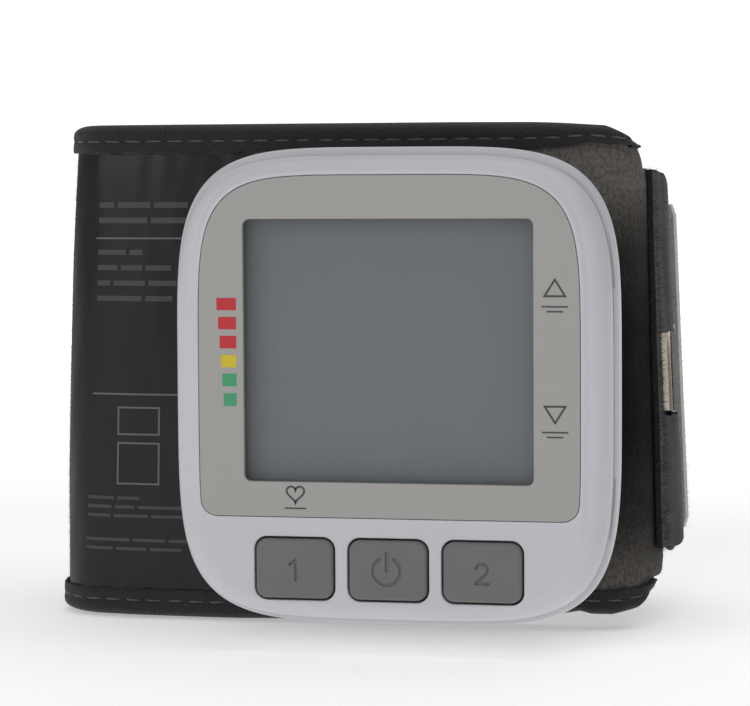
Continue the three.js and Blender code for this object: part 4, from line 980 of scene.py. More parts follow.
def rear_rings(end=CASE_DEPTH, wall=0):
    """The back shell's rings, closer where it turns."""
    table = np.array(REAR_SHARES)
    fine = curve_through(table[:, :2], 5)
    steps = np.interp(fine[:, 0], table[:, 0], table[:, 2])
    return [
        stepped_ring(REAR_START + share * (end - REAR_START), inset * REAR_INSET + wall, step)
        for (share, inset), step in zip(fine, steps)
    ]


def rear_side(y):
    """How far the back shell's side stands from the middle at a depth."""
    table = np.array(REAR_SHARES)
    share = (y - REAR_START) / (CASE_DEPTH - REAR_START)
    inset, step = (np.interp(share, table[:, 0], table[:, k]) for k in (1, 2))
    return np.abs(stepped_ring(y, inset * REAR_INSET, step)[:, 0]).max()


def panel_outline(grow):
    """The panel: an oval whose foot is cut straight, with round corners."""
    bottom, corner = PANEL_BOTTOM - grow, PANEL_CORNER + grow
    half_width, half_height = PANEL_HALF_WIDTH + grow, PANEL_HALF_HEIGHT + grow
    corner_z = bottom + corner
    share = abs((corner_z - CASE_CENTRE_Z) / half_height) ** PANEL_ROUNDNESS
    corner_x = half_width * (1 - share) ** (1 / PANEL_ROUNDNESS)
    fine = oval(half_width, CASE_CENTRE_Z + half_height, CASE_CENTRE_Z - half_height, PANEL_ROUNDNESS, 1200)
    above = fine[fine[:, 1] > corner_z + 0.05]
    turn = np.arctan2(above[:, 1] - CASE_CENTRE_Z, above[:, 0])
    turn[turn < -np.pi / 2] += 2 * np.pi
    angles = np.linspace(0, np.pi / 2, 14)
    arc_x = corner_x - corner + corner * np.cos(angles)
    arc_z = corner_z - corner * np.sin(angles)
    foot = [np.column_stack([-arc_x, arc_z]), np.column_stack([arc_x, arc_z])[::-1]]
    return evenly(np.vstack([above[np.argsort(turn)], *foot]), 320)


def window_outline(grow):
    width, height = WINDOW_WIDTH + 2 * grow, WINDOW_HEIGHT + 2 * grow
    return round_rectangle(width, height, max(WINDOW_CORNER + grow, 0.2))


def key_outline(x, grow):
    width, height = KEY_WIDTH + 2 * grow, KEY_HEIGHT + 2 * grow
    return round_rectangle(width, height, max(KEY_CORNER + grow, 0.1), x, KEY_CENTRE_Z, 12)


def onto_plateau(ring):
    """Sets a ring of the rim back where it lies outside the panel, so that the panel stands on a plateau."""
    x, y, z = ring.T
    up = z - CASE_CENTRE_Z
    shares = np.abs(x) / (PANEL_HALF_WIDTH + 0.4), np.abs(up) / (PANEL_HALF_HEIGHT + 0.4)
    reach = (shares[0] ** PANEL_ROUNDNESS + shares[1] ** PANEL_ROUNDNESS) ** (1 / PANEL_ROUNDNESS)
    beyond = (1 - 1 / np.maximum(reach, 1e-6)) * np.hypot(x, up) * 0.93
    fade = softstep((z + 28) / 5) * (1 - np.clip(y / PARTING, 0, 1))
    return np.column_stack([x, y + look("case").plateau * softstep(beyond / 0.85) * fade, z])


def front_housing():
    rings = [rim_ring(0, share) for share in np.linspace(1.55, 1.06, 8)]
    rim = curve_through(np.array(RIM_SHARES)[:, ::-1], 5)
    rings += [rim_ring(depth * PARTING, share) for share, depth in rim]
    rings = [onto_plateau(ring) for ring in rings]
    tongue, end = CASE_WALL - TONGUE_THICKNESS, PARTING + TONGUE_LENGTH
    rings += [stepped_ring(PARTING, tongue), stepped_ring(end, tongue)]
    rings += [stepped_ring(end, CASE_WALL), stepped_ring(FACE_THICKNESS, CASE_WALL)]
    made = skin("front_housing_shell", rings, "case_white")
    recess = [(-1, -0.05), (0, -0.05), (0.04, 0), (PANEL_THICKNESS + GAP, 0)]
    openings = [
        (lambda grow: panel_outline(PANEL_LINE + grow), recess),
        (lambda grow: window_outline(0.6 + grow), [(PANEL_THICKNESS, 0), (FACE_THICKNESS + 1, 0)]),
    ]
    for place in KEY_PLACES.values():
        openings.append((lambda grow, place=place: key_outline(place, grow), KEY_HOLE))
    for outline, profile in openings:
        shaped(made, slab("opening", outline, profile, "case_white"))
    for x, z in CASE_SCREWS:
        shaped(made, bore(x, z, FACE_THICKNESS - 0.6, COLUMN_FRONT - GAP, BOSS_RADIUS, 24), "UNION")
    keep(evened(made), "monitor", "white_plastic", "front_housing")


def rear_housing():
    """The back shell as one skin: its inside, the rebate for the tongue and its outside."""
    rebate = CASE_WALL - TONGUE_THICKNESS - GAP
    rebate_end = PARTING + TONGUE_LENGTH + GAP
    rings = [ring for ring in rear_rings(INNER_BACK, CASE_WALL) if ring[0, 1] > rebate_end + 0.2][::-1]
    rings += [stepped_ring(rebate_end, CASE_WALL), stepped_ring(rebate_end, rebate)]
    rings += [stepped_ring(GROOVE_END, inset) for inset in (rebate, 0.1)]
    rings.append(stepped_ring(GROOVE_END + 0.1, 0))
    rings += [ring for ring in rear_rings() if ring[0, 1] > GROOVE_END + 0.1]
    made = skin("rear_housing_shell", rings, "case_white")
    for x, z in CASE_SCREWS:
        column = bore(x, z, COLUMN_FRONT, CASE_DEPTH + 1, COLUMN_RADIUS)
        shaped(column, skin("outside", rear_rings(), "case_white"), "INTERSECT")
        shaped(made, column, "UNION")
        shaped(made, bore(x, z, COLUMN_FLOOR, CASE_DEPTH + 2, WELL_RADIUS))
        shaped(made, bore(x, z, COLUMN_FRONT - 1, COLUMN_FLOOR + 1, BORE_RADIUS, 20))
    for x, z in CUFF_SCREWS:
        shaped(made, bore(x, z, INNER_BACK - 1, CASE_DEPTH + 2, BORE_RADIUS, 20))
    shaped(made, bore(INLET_X, INLET_Z, INNER_BACK - 1, CASE_DEPTH + 2, INLET_RADIUS))
    side = (-CASE_HALF_WIDTH - 2, DOORWAY_X)
    grown_y, grown_z = ((low - GAP, high + GAP) for low, high in (DOOR_Y, DOOR_Z))
    shaped(made, block("doorway", side, grown_y, grown_z))
    for low, high in PRY_SLOTS:
        slot = round_rectangle(4, high - low, 0.5, CASE_HALF_WIDTH + 0.35, (low + high) / 2, 5)
        ends = (REAR_START - 1, GROOVE_END + 0.25)
        shaped(made, skin("slot", [at_depth(slot, y) for y in ends], "case_white"))
    keep(evened(made), "monitor", "white_plastic", "rear_housing")


def battery_door():
    """The compartment's door: a piece of the side with grip ribs and a pad that carries its contact."""
    made = block("battery_door_cover", (-CASE_HALF_WIDTH - 2, DOORWAY_X - GAP), DOOR_Y, DOOR_Z)
    shaped(made, skin("outside", rear_rings(), "case_white"), "INTERSECT")
    inside = rear_rings(INNER_BACK, CASE_WALL)
    shaped(made, skin("inside", [inside[0] - (0, 2, 0), *inside], "case_white"))
    middle = sum(DOOR_Z) / 2
    for y in RIB_PLACES:
        x = 0.08 - rear_side(y)
        shaped(made, bar((x, y, middle - RIB_HALF), (x, y, middle + RIB_HALF), RIB_RADIUS, 16), "UNION")
    y, z = DOOR_PAD_HALF, CELL_PITCH / 2 + DOOR_PAD_HALF
    shaped(made, block("pad", DOOR_PAD, (CELL_Y - y, CELL_Y + y), (CELL_Z - z, CELL_Z + z)), "UNION")
    modified(made, bevel(0.12, 2, 50))
    keep(evened(made), "battery_door", "white_plastic", "battery_door")


def face_panel():
    profile = [(0, 0.07), (0.02, 0.02), (0.06, 0), (PANEL_THICKNESS, 0)]
    made = slab("face_plate", panel_outline, profile, "panel_grey")
    edge = [(-1, -0.1), (0, -0.1), (0.02, -0.04), (0.1, 0), (PANEL_THICKNESS + 1, 0)]
    shaped(made, slab("window", window_outline, edge, "panel_grey"))
    keep(evened(made), "monitor", "panel_print", "face_panel")


def display_pieces():
    front, back = LENS
    profile = [(front, 0.12), (front + 0.12, 0), (back, 0)]
    lens = slab("window_lens", lambda grow: window_outline(GAP + grow), profile, "window_clear")
    keep(lens, "monitor", "clear", "display_lens")
    front, back = DISPLAY
    profile = [(front, 0.5), (front + 0.25, 0.5), (front + 0.25, 0.02), (front + 0.3, 0), (back, 0)]
    size = lambda grow: (DISPLAY_WIDTH + 2 * grow, DISPLAY_HEIGHT + 2 * grow)
    outline = lambda grow: round_rectangle(*size(grow), 0.4, steps=4)
    keep(slab("display_panel", outline, profile, "display_grey"), "monitor", "display", "lcd_glass")


def stroke(points, width, closed=False):
    """Both sides of a line of some width through points."""
    points = np.asarray(points, float)
    if closed:
        before, after = np.roll(points, 1, 0), np.roll(points, -1, 0)
    else:
        before, after = np.vstack([points[:1], points[:-1]]), np.vstack([points[1:], points[-1:]])
    first, second = points - before, after - points
    unit = lambda v: v / np.maximum(np.linalg.norm(v, axis=1, keepdims=True), 1e-9)
    run = unit(unit(first) + unit(second))
    side = np.column_stack([-run[:, 1], run[:, 0]])
    known = np.linalg.norm(first, axis=1, keepdims=True) > 1e-9
    lean = np.abs((unit(np.where(known, first, second)) * run).sum(1))
    offset = side * (width / 2) / np.maximum(lean, 0.35)[:, None]
    return points + offset, points - offset


def inked_line(points, width, closed=False):
    """A printed line: a thin strip just proud of the panel."""
    outer, inner = stroke(points, width, closed)
    corners = ((outer, INK_FRONT), (inner, INK_FRONT), (inner, INK_BACK), (outer, INK_BACK))
    count = len(outer)
    faces = []
    for i in range(count if closed else count - 1):
        j = (i + 1) % count
        for a, b in ((0, 1), (1, 2), (2, 3), (3, 0)):
            faces.append((a * count + i, a * count + j, b * count + j, b * count + i))
    if not closed:
        faces.append((0, count, 2 * count, 3 * count))
        faces.append((count - 1, 4 * count - 1, 3 * count - 1, 2 * count - 1))
    return mesh_object("line", np.vstack([at_depth(*c) for c in corners]), faces, "mark_ink", smooth=False)


def panel_marks():
    """The printed marks: the range bars by the display, and a plain sign beside each reading."""
    bars = []
    for left, top, bottom, material in RANGE_BARS:
        middle = ((left + RANGE_RIGHT) / 2, (top + bottom) / 2)
        outline = round_rectangle(RANGE_RIGHT - left, top - bottom, 0.12, *middle, 3)
        rings = [at_depth(outline, y) for y in (INK_BACK, INK_FRONT)]
        bars.append(skin("range_bar", rings, material, smooth=False))
    keep(joined("range_bars", bars), "monitor", "panel_print")
    x, signs = SIGN_X, []
    for middle, up in SIGN_PLACES:
        foot, low = middle - up * ARROW_FOOT, middle - RULE_DROP
        corners = [(x - ARROW_HALF, foot), (x + ARROW_HALF, foot), (x, middle + up * ARROW_TIP)]
        signs.append(inked_line(corners, SIGN_STROKE, True))
        for half, height in zip(RULE_HALVES, (low, low - RULE_PITCH)):
            signs.append(inked_line([(x - half, height), (x + half, height)], RULE_STROKE))
    turns = np.linspace(0, 2 * np.pi, 48, endpoint=False)
    heart_x = 16 * np.sin(turns) ** 3
    heart_z = 13 * np.cos(turns) - 5 * np.cos(2 * turns) - 2 * np.cos(3 * turns) - np.cos(4 * turns)
    heart = np.column_stack([HEART_X + heart_x * HEART_SIZE, HEART_Z + heart_z * HEART_SIZE])
    signs.append(inked_line(heart, SIGN_STROKE, True))
    signs.append(inked_line(HEART_RULE, RULE_STROKE))
    keep(joined("reading_signs", signs), "monitor", "panel_print")


def press(path, width):
    """The tool that presses a stroke with round ends into a key."""
    outer, inner = stroke(path, width)
    caps = []
    for tip, toward in ((path[-1], path[-1] - path[-2]), (path[0], path[0] - path[1])):
        turn = math.atan2(toward[1], toward[0]) + np.linspace(np.pi / 2, -np.pi / 2, 7)[1:-1]
        caps.append(tip + width / 2 * circle(turn))
    outline = np.vstack([outer, caps[0], inner[::-1], caps[1]])
    depths = (-KEY_RISE - 0.4, LEGEND_DEPTH - KEY_RISE)
    return skin("sign", [at_depth(outline, y) for y in depths], "key_grey")


def signs_on_key(place):
    """The strokes of a key's sign: a numeral on the outer keys, the power sign on the middle one."""
    if place == 0:
        centre = np.array([-0.1, KEY_CENTRE_Z - 0.05])
        ring = centre + 2.02 * circle(np.radians(np.linspace(122, 418, 40)))
        return [(ring, 0.5), (np.array([centre + (0, 0.1), centre + (0, 2.5)]), 0.55)]
    centre = np.array([place, KEY_CENTRE_Z - 0.15])
    if place < 0:
        stem = centre + np.array([(0.25, -1.45), (0.25, 1.45)])
        flag = centre + np.array([(0.2, 1.4), (-0.65, 0.8)])
        return [(stem, 0.46), (flag, 0.42)]
    bowl = centre + (0, 0.62) + 0.85 * circle(np.radians(np.linspace(165, -38, 26)))
    bowl = np.vstack([bowl, centre + (-0.88, -1.4)])
    foot = centre + np.array([(-0.88, -1.42), (0.95, -1.42)])
    return [(bowl, 0.44), (foot, 0.44)]


def keys():
    """The three keys: each a rounded cap, a flange behind its hole, a stem and its pressed sign."""
    for name, place in KEY_PLACES.items():
        rings = []
        for step in range(8, -1, -1):
            angle = step / 8 * math.pi / 2
            y = -KEY_RISE + KEY_EDGE * (1 - math.sin(angle))
            rings.append(at_depth(key_outline(place, -GAP - KEY_EDGE * (1 - math.cos(angle))), y))
        rings.append(at_depth(key_outline(place, -GAP), KEY_FLANGE[0]))
        rings += [at_depth(key_outline(place, KEY_OVERHANG), y) for y in KEY_FLANGE]
        around = key_outline(place, 0)
        turn = np.arctan2(around[:, 1] - KEY_CENTRE_Z, around[:, 0] - place)
        stem = KEY_STEM_RADIUS * circle(turn) + (place, KEY_CENTRE_Z)
        rings += [at_depth(stem, KEY_FLANGE[1]), at_depth(stem, KEY_FLANGE[1] + KEY_STEM)]
        made = skin(name + "_cap", rings, "key_grey", sharp=40)
        for path, width in signs_on_key(place):
            shaped(made, press(path, width))
        keep(evened(made, 40), name, "key_plastic", name)


# The cuff


def table_value(table, share):
    table = np.array(table, float)
    return np.interp(share, table[:, 0], table[:, 1])


def top_edge(share):
    return CUFF_TOP - table_value(UPPER_EDGE, share) * CUFF_HEIGHT


def bottom_edge(share):
    return CUFF_BOTTOM + table_value(LOWER_EDGE, share) * CUFF_HEIGHT


def flared(points):
    """The loop is a little wider at its foot than at its top."""
    points = np.array(points, float)
    middle = (CUFF_TOP + CUFF_BOTTOM) / 2
    scale = 1 - LOOP_FLARE * (points[..., 2] - middle) / (CUFF_HEIGHT / 2)
    points[..., 0] = LOOP_CENTRE_X + (points[..., 0] - LOOP_CENTRE_X) * scale
    points[..., 1] = CUFF_Y + (points[..., 1] - CUFF_Y) * scale
    return points


class Path:
    """A path seen from above, by shares of its length, with its outward direction."""

    def __init__(self, fine):
        self.fine = np.asarray(fine, float)
        self.run = np.r_[0, np.cumsum(np.linalg.norm(np.diff(self.fine, axis=0), axis=1))]
        self.length = self.run[-1]
        along = np.gradient(self.fine, self.run, axis=0)
        along /= np.linalg.norm(along, axis=1, keepdims=True)
        self.out = np.column_stack([-along[:, 1], along[:, 0]])

    def at(self, share):
        run = np.asarray(share) * self.length
        at_run = lambda line: np.stack([np.interp(run, self.run, line[:, k]) for k in (0, 1)], -1)
        place, out = at_run(self.fine), at_run(self.out)
        return place, out / np.linalg.norm(out, axis=-1, keepdims=True)


def loop_points(shares):
    return [(LOOP_CENTRE_X + x * LOOP_HALF_WIDTH, CUFF_Y + y * LOOP_DEPTH) for x, y in shares]


cuff_path = Path(curve_through(loop_points(LOOP_SHARES)))


def band(name, path, shares, section, material, sharp=50):
    """A band along a path: section(share) gives its outline as [outward, height] pairs."""
    shares = np.asarray(shares, float)
    rings, lines = [], []
    for share, place, out in zip(shares, *path.at(shares)):
        outline = np.asarray(section(share), float)
        rings.append(flared(np.column_stack([place + outline[:, :1] * out, outline[:, 1]])))
        around = np.r_[0, np.cumsum(np.linalg.norm(np.diff(outline, axis=0), axis=1))]
        lines.append(np.column_stack([np.full(len(outline), share * path.length), around]))
    return skin(name, rings, material, uv=np.vstack(lines), sharp=sharp)


def puff(share):
    return 1 - (2 * share - 1) ** 2


def unevenness(share, height, seed=0):
    """A slow, small unevenness of hand-laid cloth, from -1 to 1."""
    waves = [(31, 0.07, 0.3), (53, -0.11, 1.9), (83, 0.17, 4.1), (19, 0.05, 2.2)]
    return sum(np.sin(k * share + up * height * 2 + phase + seed) for k, up, phase in waves) / len(waves)


def crown(share, v):
    """How far the velour stands proud, most at the middle of its height."""
    return table_value(CROWN, share) * VELOUR_CROWN * puff(v)


def layer(name, shares, outer, inner, ends, material, levels=30, edge=0.15, path=cuff_path):
    """A layer with soft edges: outer and inner give its faces' distance outward at a share and height."""
    steps = np.linspace(0, 1, levels + 1)

    def section(share):
        bottom, top = ends(share)
        heights = bottom + steps * (top - bottom)
        front, back = (
            np.array([(side(share, v, z), z) for v, z in zip(steps, heights)]) for side in (outer, inner)
        )
        middle = (front[:, 0] + back[:, 0]) / 2
        near = np.minimum(steps, 1 - steps) * (top - bottom) / edge
        soft = np.sqrt(np.clip(1 - (1 - near).clip(0) ** 2, 0.04, 1))
        for side in (front, back):
            side[:, 0] = middle + (side[:, 0] - middle) * soft
        return np.vstack([front, back[::-1]])

    return band(name, path, shares, section, material)


def between_edges(margin):
    """A layer's lower and upper ends, as far from the cuff's edges as a margin says."""
    return lambda share: (bottom_edge(share) + margin, top_edge(share) - margin)


def cloth_ends(share):
    """The cloth reaches the cuff's edge only where no tape covers it."""
    return between_edges(CLOTH_MARGIN * softstep((share - BINDING_START) / 0.012) + 0.05)(share)


def cuff_layers():
    shares = np.concatenate([np.linspace(0, 0.14, 70), np.linspace(0.14, 1, 300)[1:]])
    calm = lambda share: CALM_FACTOR if CALM_SHARES[0] <= share <= CALM_SHARES[1] else 1
    waved = lambda share: VELOUR_WAVE * calm(share)
    outer = lambda share, v, z: crown(share, v) + waved(share) * unevenness(share * 3, z)
    inner = lambda share, v, z: -VELOUR_THICKNESS
    velour = layer("cuff_velour", shares, outer, inner, cloth_ends, "velour_pile")
    fuzz = loose_fibres("velour_fuzz", velour, pile_density, look("cuff").pile, "velour_fibre", 2.2)
    piece = smoothed(joined("cuff_velour_pile", [velour, fuzz]))
    keep(piece, "monitor", "velour", "cuff_outer")
    fade = lambda v: np.exp(-np.minimum(v, 1 - v) * PUCKER_FADE)
    pucker = lambda share, v: PUCKER_DEPTH * np.sin(share * PUCKER_TURNS) * fade(v)
    full = lambda share, v: table_value(LINING_CROWN, share) * puff(v) ** 0.7
    outer = lambda share, v, z: -table_value(LINING_DEPTH, share)
    uneven = lambda share, z: LINING_WAVE * unevenness(share * 2, z, 1)
    inner = lambda share, v, z: (
        outer(share, v, z) - LINING_THICKNESS - full(share, v) - pucker(share, v) - uneven(share, z)
    )
    lining = layer("cuff_inside", shares, outer, inner, cloth_ends, "knit")
    keep(lining, "monitor", "lining", "cuff_lining")
    middle = -sum(BLADDER_DEPTH) / 2

    def half(share, v):
        ends = min(share - BLADDER_ENDS[0], BLADDER_ENDS[1] - share) * cuff_path.length
        sides = min(v, 1 - v) * (CUFF_HEIGHT - 2 * BLADDER_MARGIN)
        return 0.14 + 0.36 * softstep(min(ends, sides) / 4 - 0.5)

    bladder = layer(
        "air_pouch",
        np.linspace(*BLADDER_ENDS, 120),
        lambda share, v, z: middle + half(share, v),
        lambda share, v, z: middle - half(share, v),
        between_edges(BLADDER_MARGIN),
        "bladder_skin",
    )
    keep(bladder, "monitor", "rubber", "air_bladder")


def pile_density(x, y):
    """How thick the loose fibres stand: most where the cuff turns away from the eye."""
    ends = softstep((FUZZ_LEFT[0] - x) / FUZZ_LEFT[1]) + softstep((x - FUZZ_RIGHT[0]) / FUZZ_RIGHT[1])
    return np.clip(FUZZ_LEAST + ends, 0, 1) * (y > CUFF_Y - 1.2)


# Geometry nodes


def node_tree(name, *inputs):
    """A geometry node tree with named inputs, what adds a node to it, and the values of its inputs."""
    tree = bpy.data.node_groups.new(name, "GeometryNodeTree")
    for label, kind in (("Geometry", "Geometry"), *inputs):
        tree.interface.new_socket(name=label, in_out="INPUT", socket_type="NodeSocket" + kind)
    tree.interface.new_socket(name="Geometry", in_out="OUTPUT", socket_type="NodeSocketGeometry")
    source = tree.nodes.new("NodeGroupInput")
    values = {socket.name: Value(tree, socket) for socket in source.outputs if socket.name}
    return tree, partial(add_node, tree), values


def attribute_value(add, kind, name):
    return add("GeometryNodeInputNamedAttribute", {"data_type": kind}, {"Name": name})


def random_turn(add, low, high, value):
    sockets = {0: low, 1: high, "Seed": value["Seed"]}
    return add("FunctionNodeRandomValue", {"data_type": "FLOAT_VECTOR"}, sockets)


def end_tree(tree, add, points, piece, rotation, turn, material, **more):
    """Puts a turned piece at each point, and ends the tree in real, smooth and coloured pieces."""
    sockets = {"Rotation": rotation, "Rotate By": turn}
    turned = add("FunctionNodeRotateRotation", {"rotation_space": "LOCAL"}, sockets)
    sockets = {"Points": points, "Instance": piece, "Rotation": turned, **more}
    made = add("GeometryNodeInstanceOnPoints", None, sockets)
    for kind in ("GeometryNodeRealizeInstances", "GeometryNodeSetShadeSmooth"):
        made = add(kind, None, {"Geometry": made})
    made = add("GeometryNodeSetMaterial", None, {"Geometry": made, "Material": material})
    tree.links.new(made.socket, tree.nodes.new("NodeGroupOutput").inputs[0])
    return tree


def grown(name, source, make_tree, **values):
    """Runs a tree on an object and gives its result as a plain mesh object. The source stays as it is."""
    if make_tree not in trees:
        trees[make_tree] = make_tree()
    tree = trees[make_tree]
    host = placed(name, source.data.copy())
    modifier = host.modifiers.new("grow", "NODES")
    modifier.node_group = tree
    for item in tree.interface.items_tree:
        if item.item_type == "SOCKET" and item.in_out == "INPUT" and item.name in values:
            modifier[item.identifier] = values[item.name]
    mesh = evaluated_mesh(host)
    mesh.name = name
    remove(host)
    return placed(name, mesh)


trees = {}


def fibre_tree():
    tree, add, value = node_tree(
        "Loose Fibres",
        ("Density", "Float"), ("Length", "Float"), ("Radius", "Float"), ("Lean", "Float"), ("Seed", "Int"),
        ("Material", "Material"),
    )
    points = tree.nodes.new("GeometryNodeDistributePointsOnFaces")
    feed(tree, value["Geometry"], points.inputs["Mesh"])
    feed(tree, value["Density"] * attribute_value(add, "FLOAT", "pile"), points.inputs["Density"])
    feed(tree, value["Seed"], points.inputs["Seed"])
    sockets = {"Vertices": 3, "Side Segments": 1, "Radius Top": 0.0}
    sockets |= {"Radius Bottom": value["Radius"], "Depth": value["Length"]}
    cone = add("GeometryNodeMeshCone", {"fill_type": "NGON"}, sockets)
    lean = random_turn(add, (-1.0, -1.0, -FIBRE_TURN), (1.0, 1.0, FIBRE_TURN), value)
    tilt = add("ShaderNodeVectorMath", {"operation": "SCALE"}, {0: lean, "Scale": value["Lean"]})
    sockets = {2: FIBRE_SIZES[0], 3: FIBRE_SIZES[1], "Seed": value["Seed"]}
    size = add("FunctionNodeRandomValue", {"data_type": "FLOAT"}, sockets, 1)
    places, rotation = (Value(tree, points.outputs[name]) for name in ("Points", "Rotation"))
    return end_tree(tree, add, places, cone, rotation, tilt, value["Material"], Scale=size)


def loose_fibres(name, surface, density, length, material, per_mm2, lean=0.75, radius=0.03):
    """Scatters short fibres over a surface."""
    places = (np.array([v.co for v in surface.data.vertices]) - ORIGIN) / MM
    attribute = surface.data.attributes.new("pile", "FLOAT", "POINT")
    attribute.data.foreach_set("value", np.asarray(density(*places.T[:2]), np.float32))
    sizes = {"Density": per_mm2 * 1e6, "Length": length, "Radius": radius * MM, "Lean": lean}
    made = grown(name, surface, fibre_tree, **sizes, Seed=look("cuff").seed, Material=finish(material))
    surface.data.attributes.remove(surface.data.attributes["pile"])
    return made


def stitch_tree():
    tree, add, value = node_tree(
        "Stitches", ("Pitch", "Float"), ("Length", "Float"), ("Radius", "Float"), ("Seed", "Int"),
        ("Material", "Material"),
    )
    points = tree.nodes.new("GeometryNodeCurveToPoints")
    points.mode = "LENGTH"
    feed(tree, value["Geometry"], points.inputs["Curve"])
    feed(tree, value["Pitch"], points.inputs["Length"])
    ball = add("GeometryNodeMeshUVSphere", None, {"Segments": 8, "Rings": 8, "Radius": value["Radius"]})
    longer = value["Length"] / (value["Radius"] * 2)
    stretch = add("ShaderNodeCombineXYZ", None, {"X": 1.0, "Y": 1.0, "Z": longer})
    stitch = add("GeometryNodeTransform", None, {"Geometry": ball, "Scale": stretch})
    low, high = ((side * STITCH_SWAY, side * STITCH_SWAY, 0.0) for side in (-1, 1))
    sway = random_turn(add, low, high, value)
    places, rotation = (Value(tree, points.outputs[name]) for name in ("Points", "Rotation"))
    return end_tree(tree, add, places, stitch, rotation, sway, value["Material"])


def stitches(name, points, material="thread", length=None, radius=0.15):
    """A row of stitches along points in millimetres."""
    length = length or look("cuff").stitch / MM
    curve = bpy.data.curves.new(name, "CURVE")
    curve.dimensions = "3D"
    spline = curve.splines.new("POLY")
    spline.points.add(len(points) - 1)
    spline.points.foreach_set("co", np.column_stack([to_row(points), np.ones(len(points))]).ravel())
    path = placed(name, curve)
    sizes = {"Pitch": (length + STITCH_GAP) * MM, "Length": length * MM, "Radius": radius * MM}
    made = grown(name, path, stitch_tree, **sizes, Seed=look("cuff").seed, Material=finish(material))
    remove(path)
    return made


def binding_section(share, edge, tape, up):
    """The tape's section: down the outside, over the fold and down the inside."""
    edge_z = edge(share)
    outer = GAP + BINDING_THICKNESS / 2
    depth = table_value(LINING_DEPTH, share) + LINING_THICKNESS + outer
    wander = sum(size * math.sin(share * speed) for size, speed in TAPE_WANDER)
    width = max(abs(edge_z - table_value(tape, share)) + wander, 0.35)
    rise = min(TAPE_RISE, width * 0.5)
    half = (outer + depth) / 2
    end = edge_z - up * width
    crest = edge_z - up * (BINDING_THICKNESS / 2 + rise)
    if up * (crest - end) < 0.05:
        crest = end + up * 0.05
    line = [(outer, z) for z in np.linspace(end, crest, 12)]
    for a in np.linspace(0, np.pi, 17)[1:-1]:
        line.append((outer - half + half * math.cos(a), crest + up * rise * math.sin(a) ** 0.8))
    line = np.array(line + [(-depth, z) for z in np.linspace(crest, end, 12)])
    row = edge_z - up * width * STITCH_ROW
    puckered = STITCH_GROOVE * (0.8 + 0.35 * math.sin(share * cuff_path.length * STITCH_WAVE))
    near = np.exp(-(((line[:, 1] - row) / STITCH_GROOVE_WIDTH) ** 2))
    line[:, 0] -= np.sign(line[:, 0] + 2) * puckered * near
    run = np.gradient(line, axis=0)
    run /= np.maximum(np.linalg.norm(run, axis=1, keepdims=True), 1e-9)
    thick = np.full((len(line), 1), BINDING_THICKNESS / 2)
    thick[[0, -1]] *= TAPE_EDGE
    side = up * np.column_stack([run[:, 1], -run[:, 0]]) * thick
    return np.vstack([line + side, (line - side)[::-1]])


def bindings():
    """The edge tapes, each with a row of stitches outside and one inside."""
    shares = np.concatenate([np.linspace(BINDING_START, 0.15, 140), np.linspace(0.15, 1, 560)[1:]])
    row = np.linspace(BINDING_START + 0.01, 0.995, 700)
    places, outs = cuff_path.at(row)
    for name, edge, tape, up in (
        ("upper_binding", top_edge, UPPER_TAPE, 1),
        ("lower_binding", bottom_edge, LOWER_TAPE, -1),
    ):
        section = lambda share: binding_section(share, edge, tape, up)
        pieces = [band(name + "_tape", cuff_path, shares, section, "tape", 60)]
        edges = np.array([edge(s) for s in row])
        heights = edges - up * np.abs(edges - table_value(tape, row)) * STITCH_ROW
        sunk = GAP + BINDING_THICKNESS - STITCH_GROOVE + 0.04
        for depth in (np.full(len(row), sunk), -(table_value(LINING_DEPTH, row) + LINING_THICKNESS + sunk)):
            line = flared(np.column_stack([places + depth[:, None] * outs, heights]))
            pieces.append(stitches(name + "_row", line))
        keep(smoothed(joined(name + "_sewn", pieces)), "monitor", "woven_black", name)


def print_window():
    """The clear film on the cuff's left, with plain rules and bars printed on it."""
    margin = BINDING_HEIGHT + GAP
    back = lambda share, v, z: GAP + crown(share, v) + FILM_WAVE * unevenness(share * 4, z, 3) + 0.05
    front = lambda share, v, z: back(share, v, z) + FILM_THICKNESS
    shares = np.linspace(*FILM_ENDS, 110)
    made = layer("film", shares, front, back, between_edges(margin), "clear_film", edge=0.1)
    lines = []

    def stroke_on_film(start, end, height, width, material="film_ink"):
        low, high = height - width / 2, height + width / 2

        def section(share):
            foot = bottom_edge(share)
            out = front(share, (height - foot) / (top_edge(share) - foot), height)
            return [(out + 0.02, low), (out + 0.02, high), (out - 0.02, high), (out - 0.02, low)]

        count = max(4, round((end - start) * FILM_SPANS))
        lines.append(band("film_stroke", cuff_path, np.linspace(start, end, count), section, material))

    for rule in FILM_RULES:
        stroke_on_film(*rule, FILM_STROKE)
    thin = FILM_STROKE / cuff_path.length
    for start, end, low, high in FILM_FRAMES:
        step = (high - low) / FILM_FRAME_STEPS
        for height in (low, high):
            stroke_on_film(start, end, height, FILM_STROKE)
        for height in low + step * (np.arange(FILM_FRAME_STEPS) + 0.5):
            stroke_on_film(start, start + thin, height, step)
            stroke_on_film(end - thin, end, height, step)
    for height, tall, left, lengths in FILM_ROWS:
        for length in lengths:
            right = left - length / cuff_path.length
            stroke_on_film(right, left, height, tall, "film_bar")
            left = right - FILM_WORD_GAP / cuff_path.length
    keep(made, "monitor", "clear", "print_window")
    keep(smoothed(joined("film_print", lines)), "monitor", "clear")


# The ring end


def arc(centre, radius, start, end, count):
    return np.asarray(centre) + radius * circle(np.radians(np.linspace(start, end, count)))


def strip(name, path, ends, thickness, material, count, levels, edge):
    """A strap or tape along a path: its faces lie half its thickness either side of the path."""
    shares = np.linspace(0, 1, count)
    front, back = lambda share, v, z: thickness / 2, lambda share, v, z: -thickness / 2
    return layer(name, shares, front, back, lambda share: ends, material, levels, edge, path)


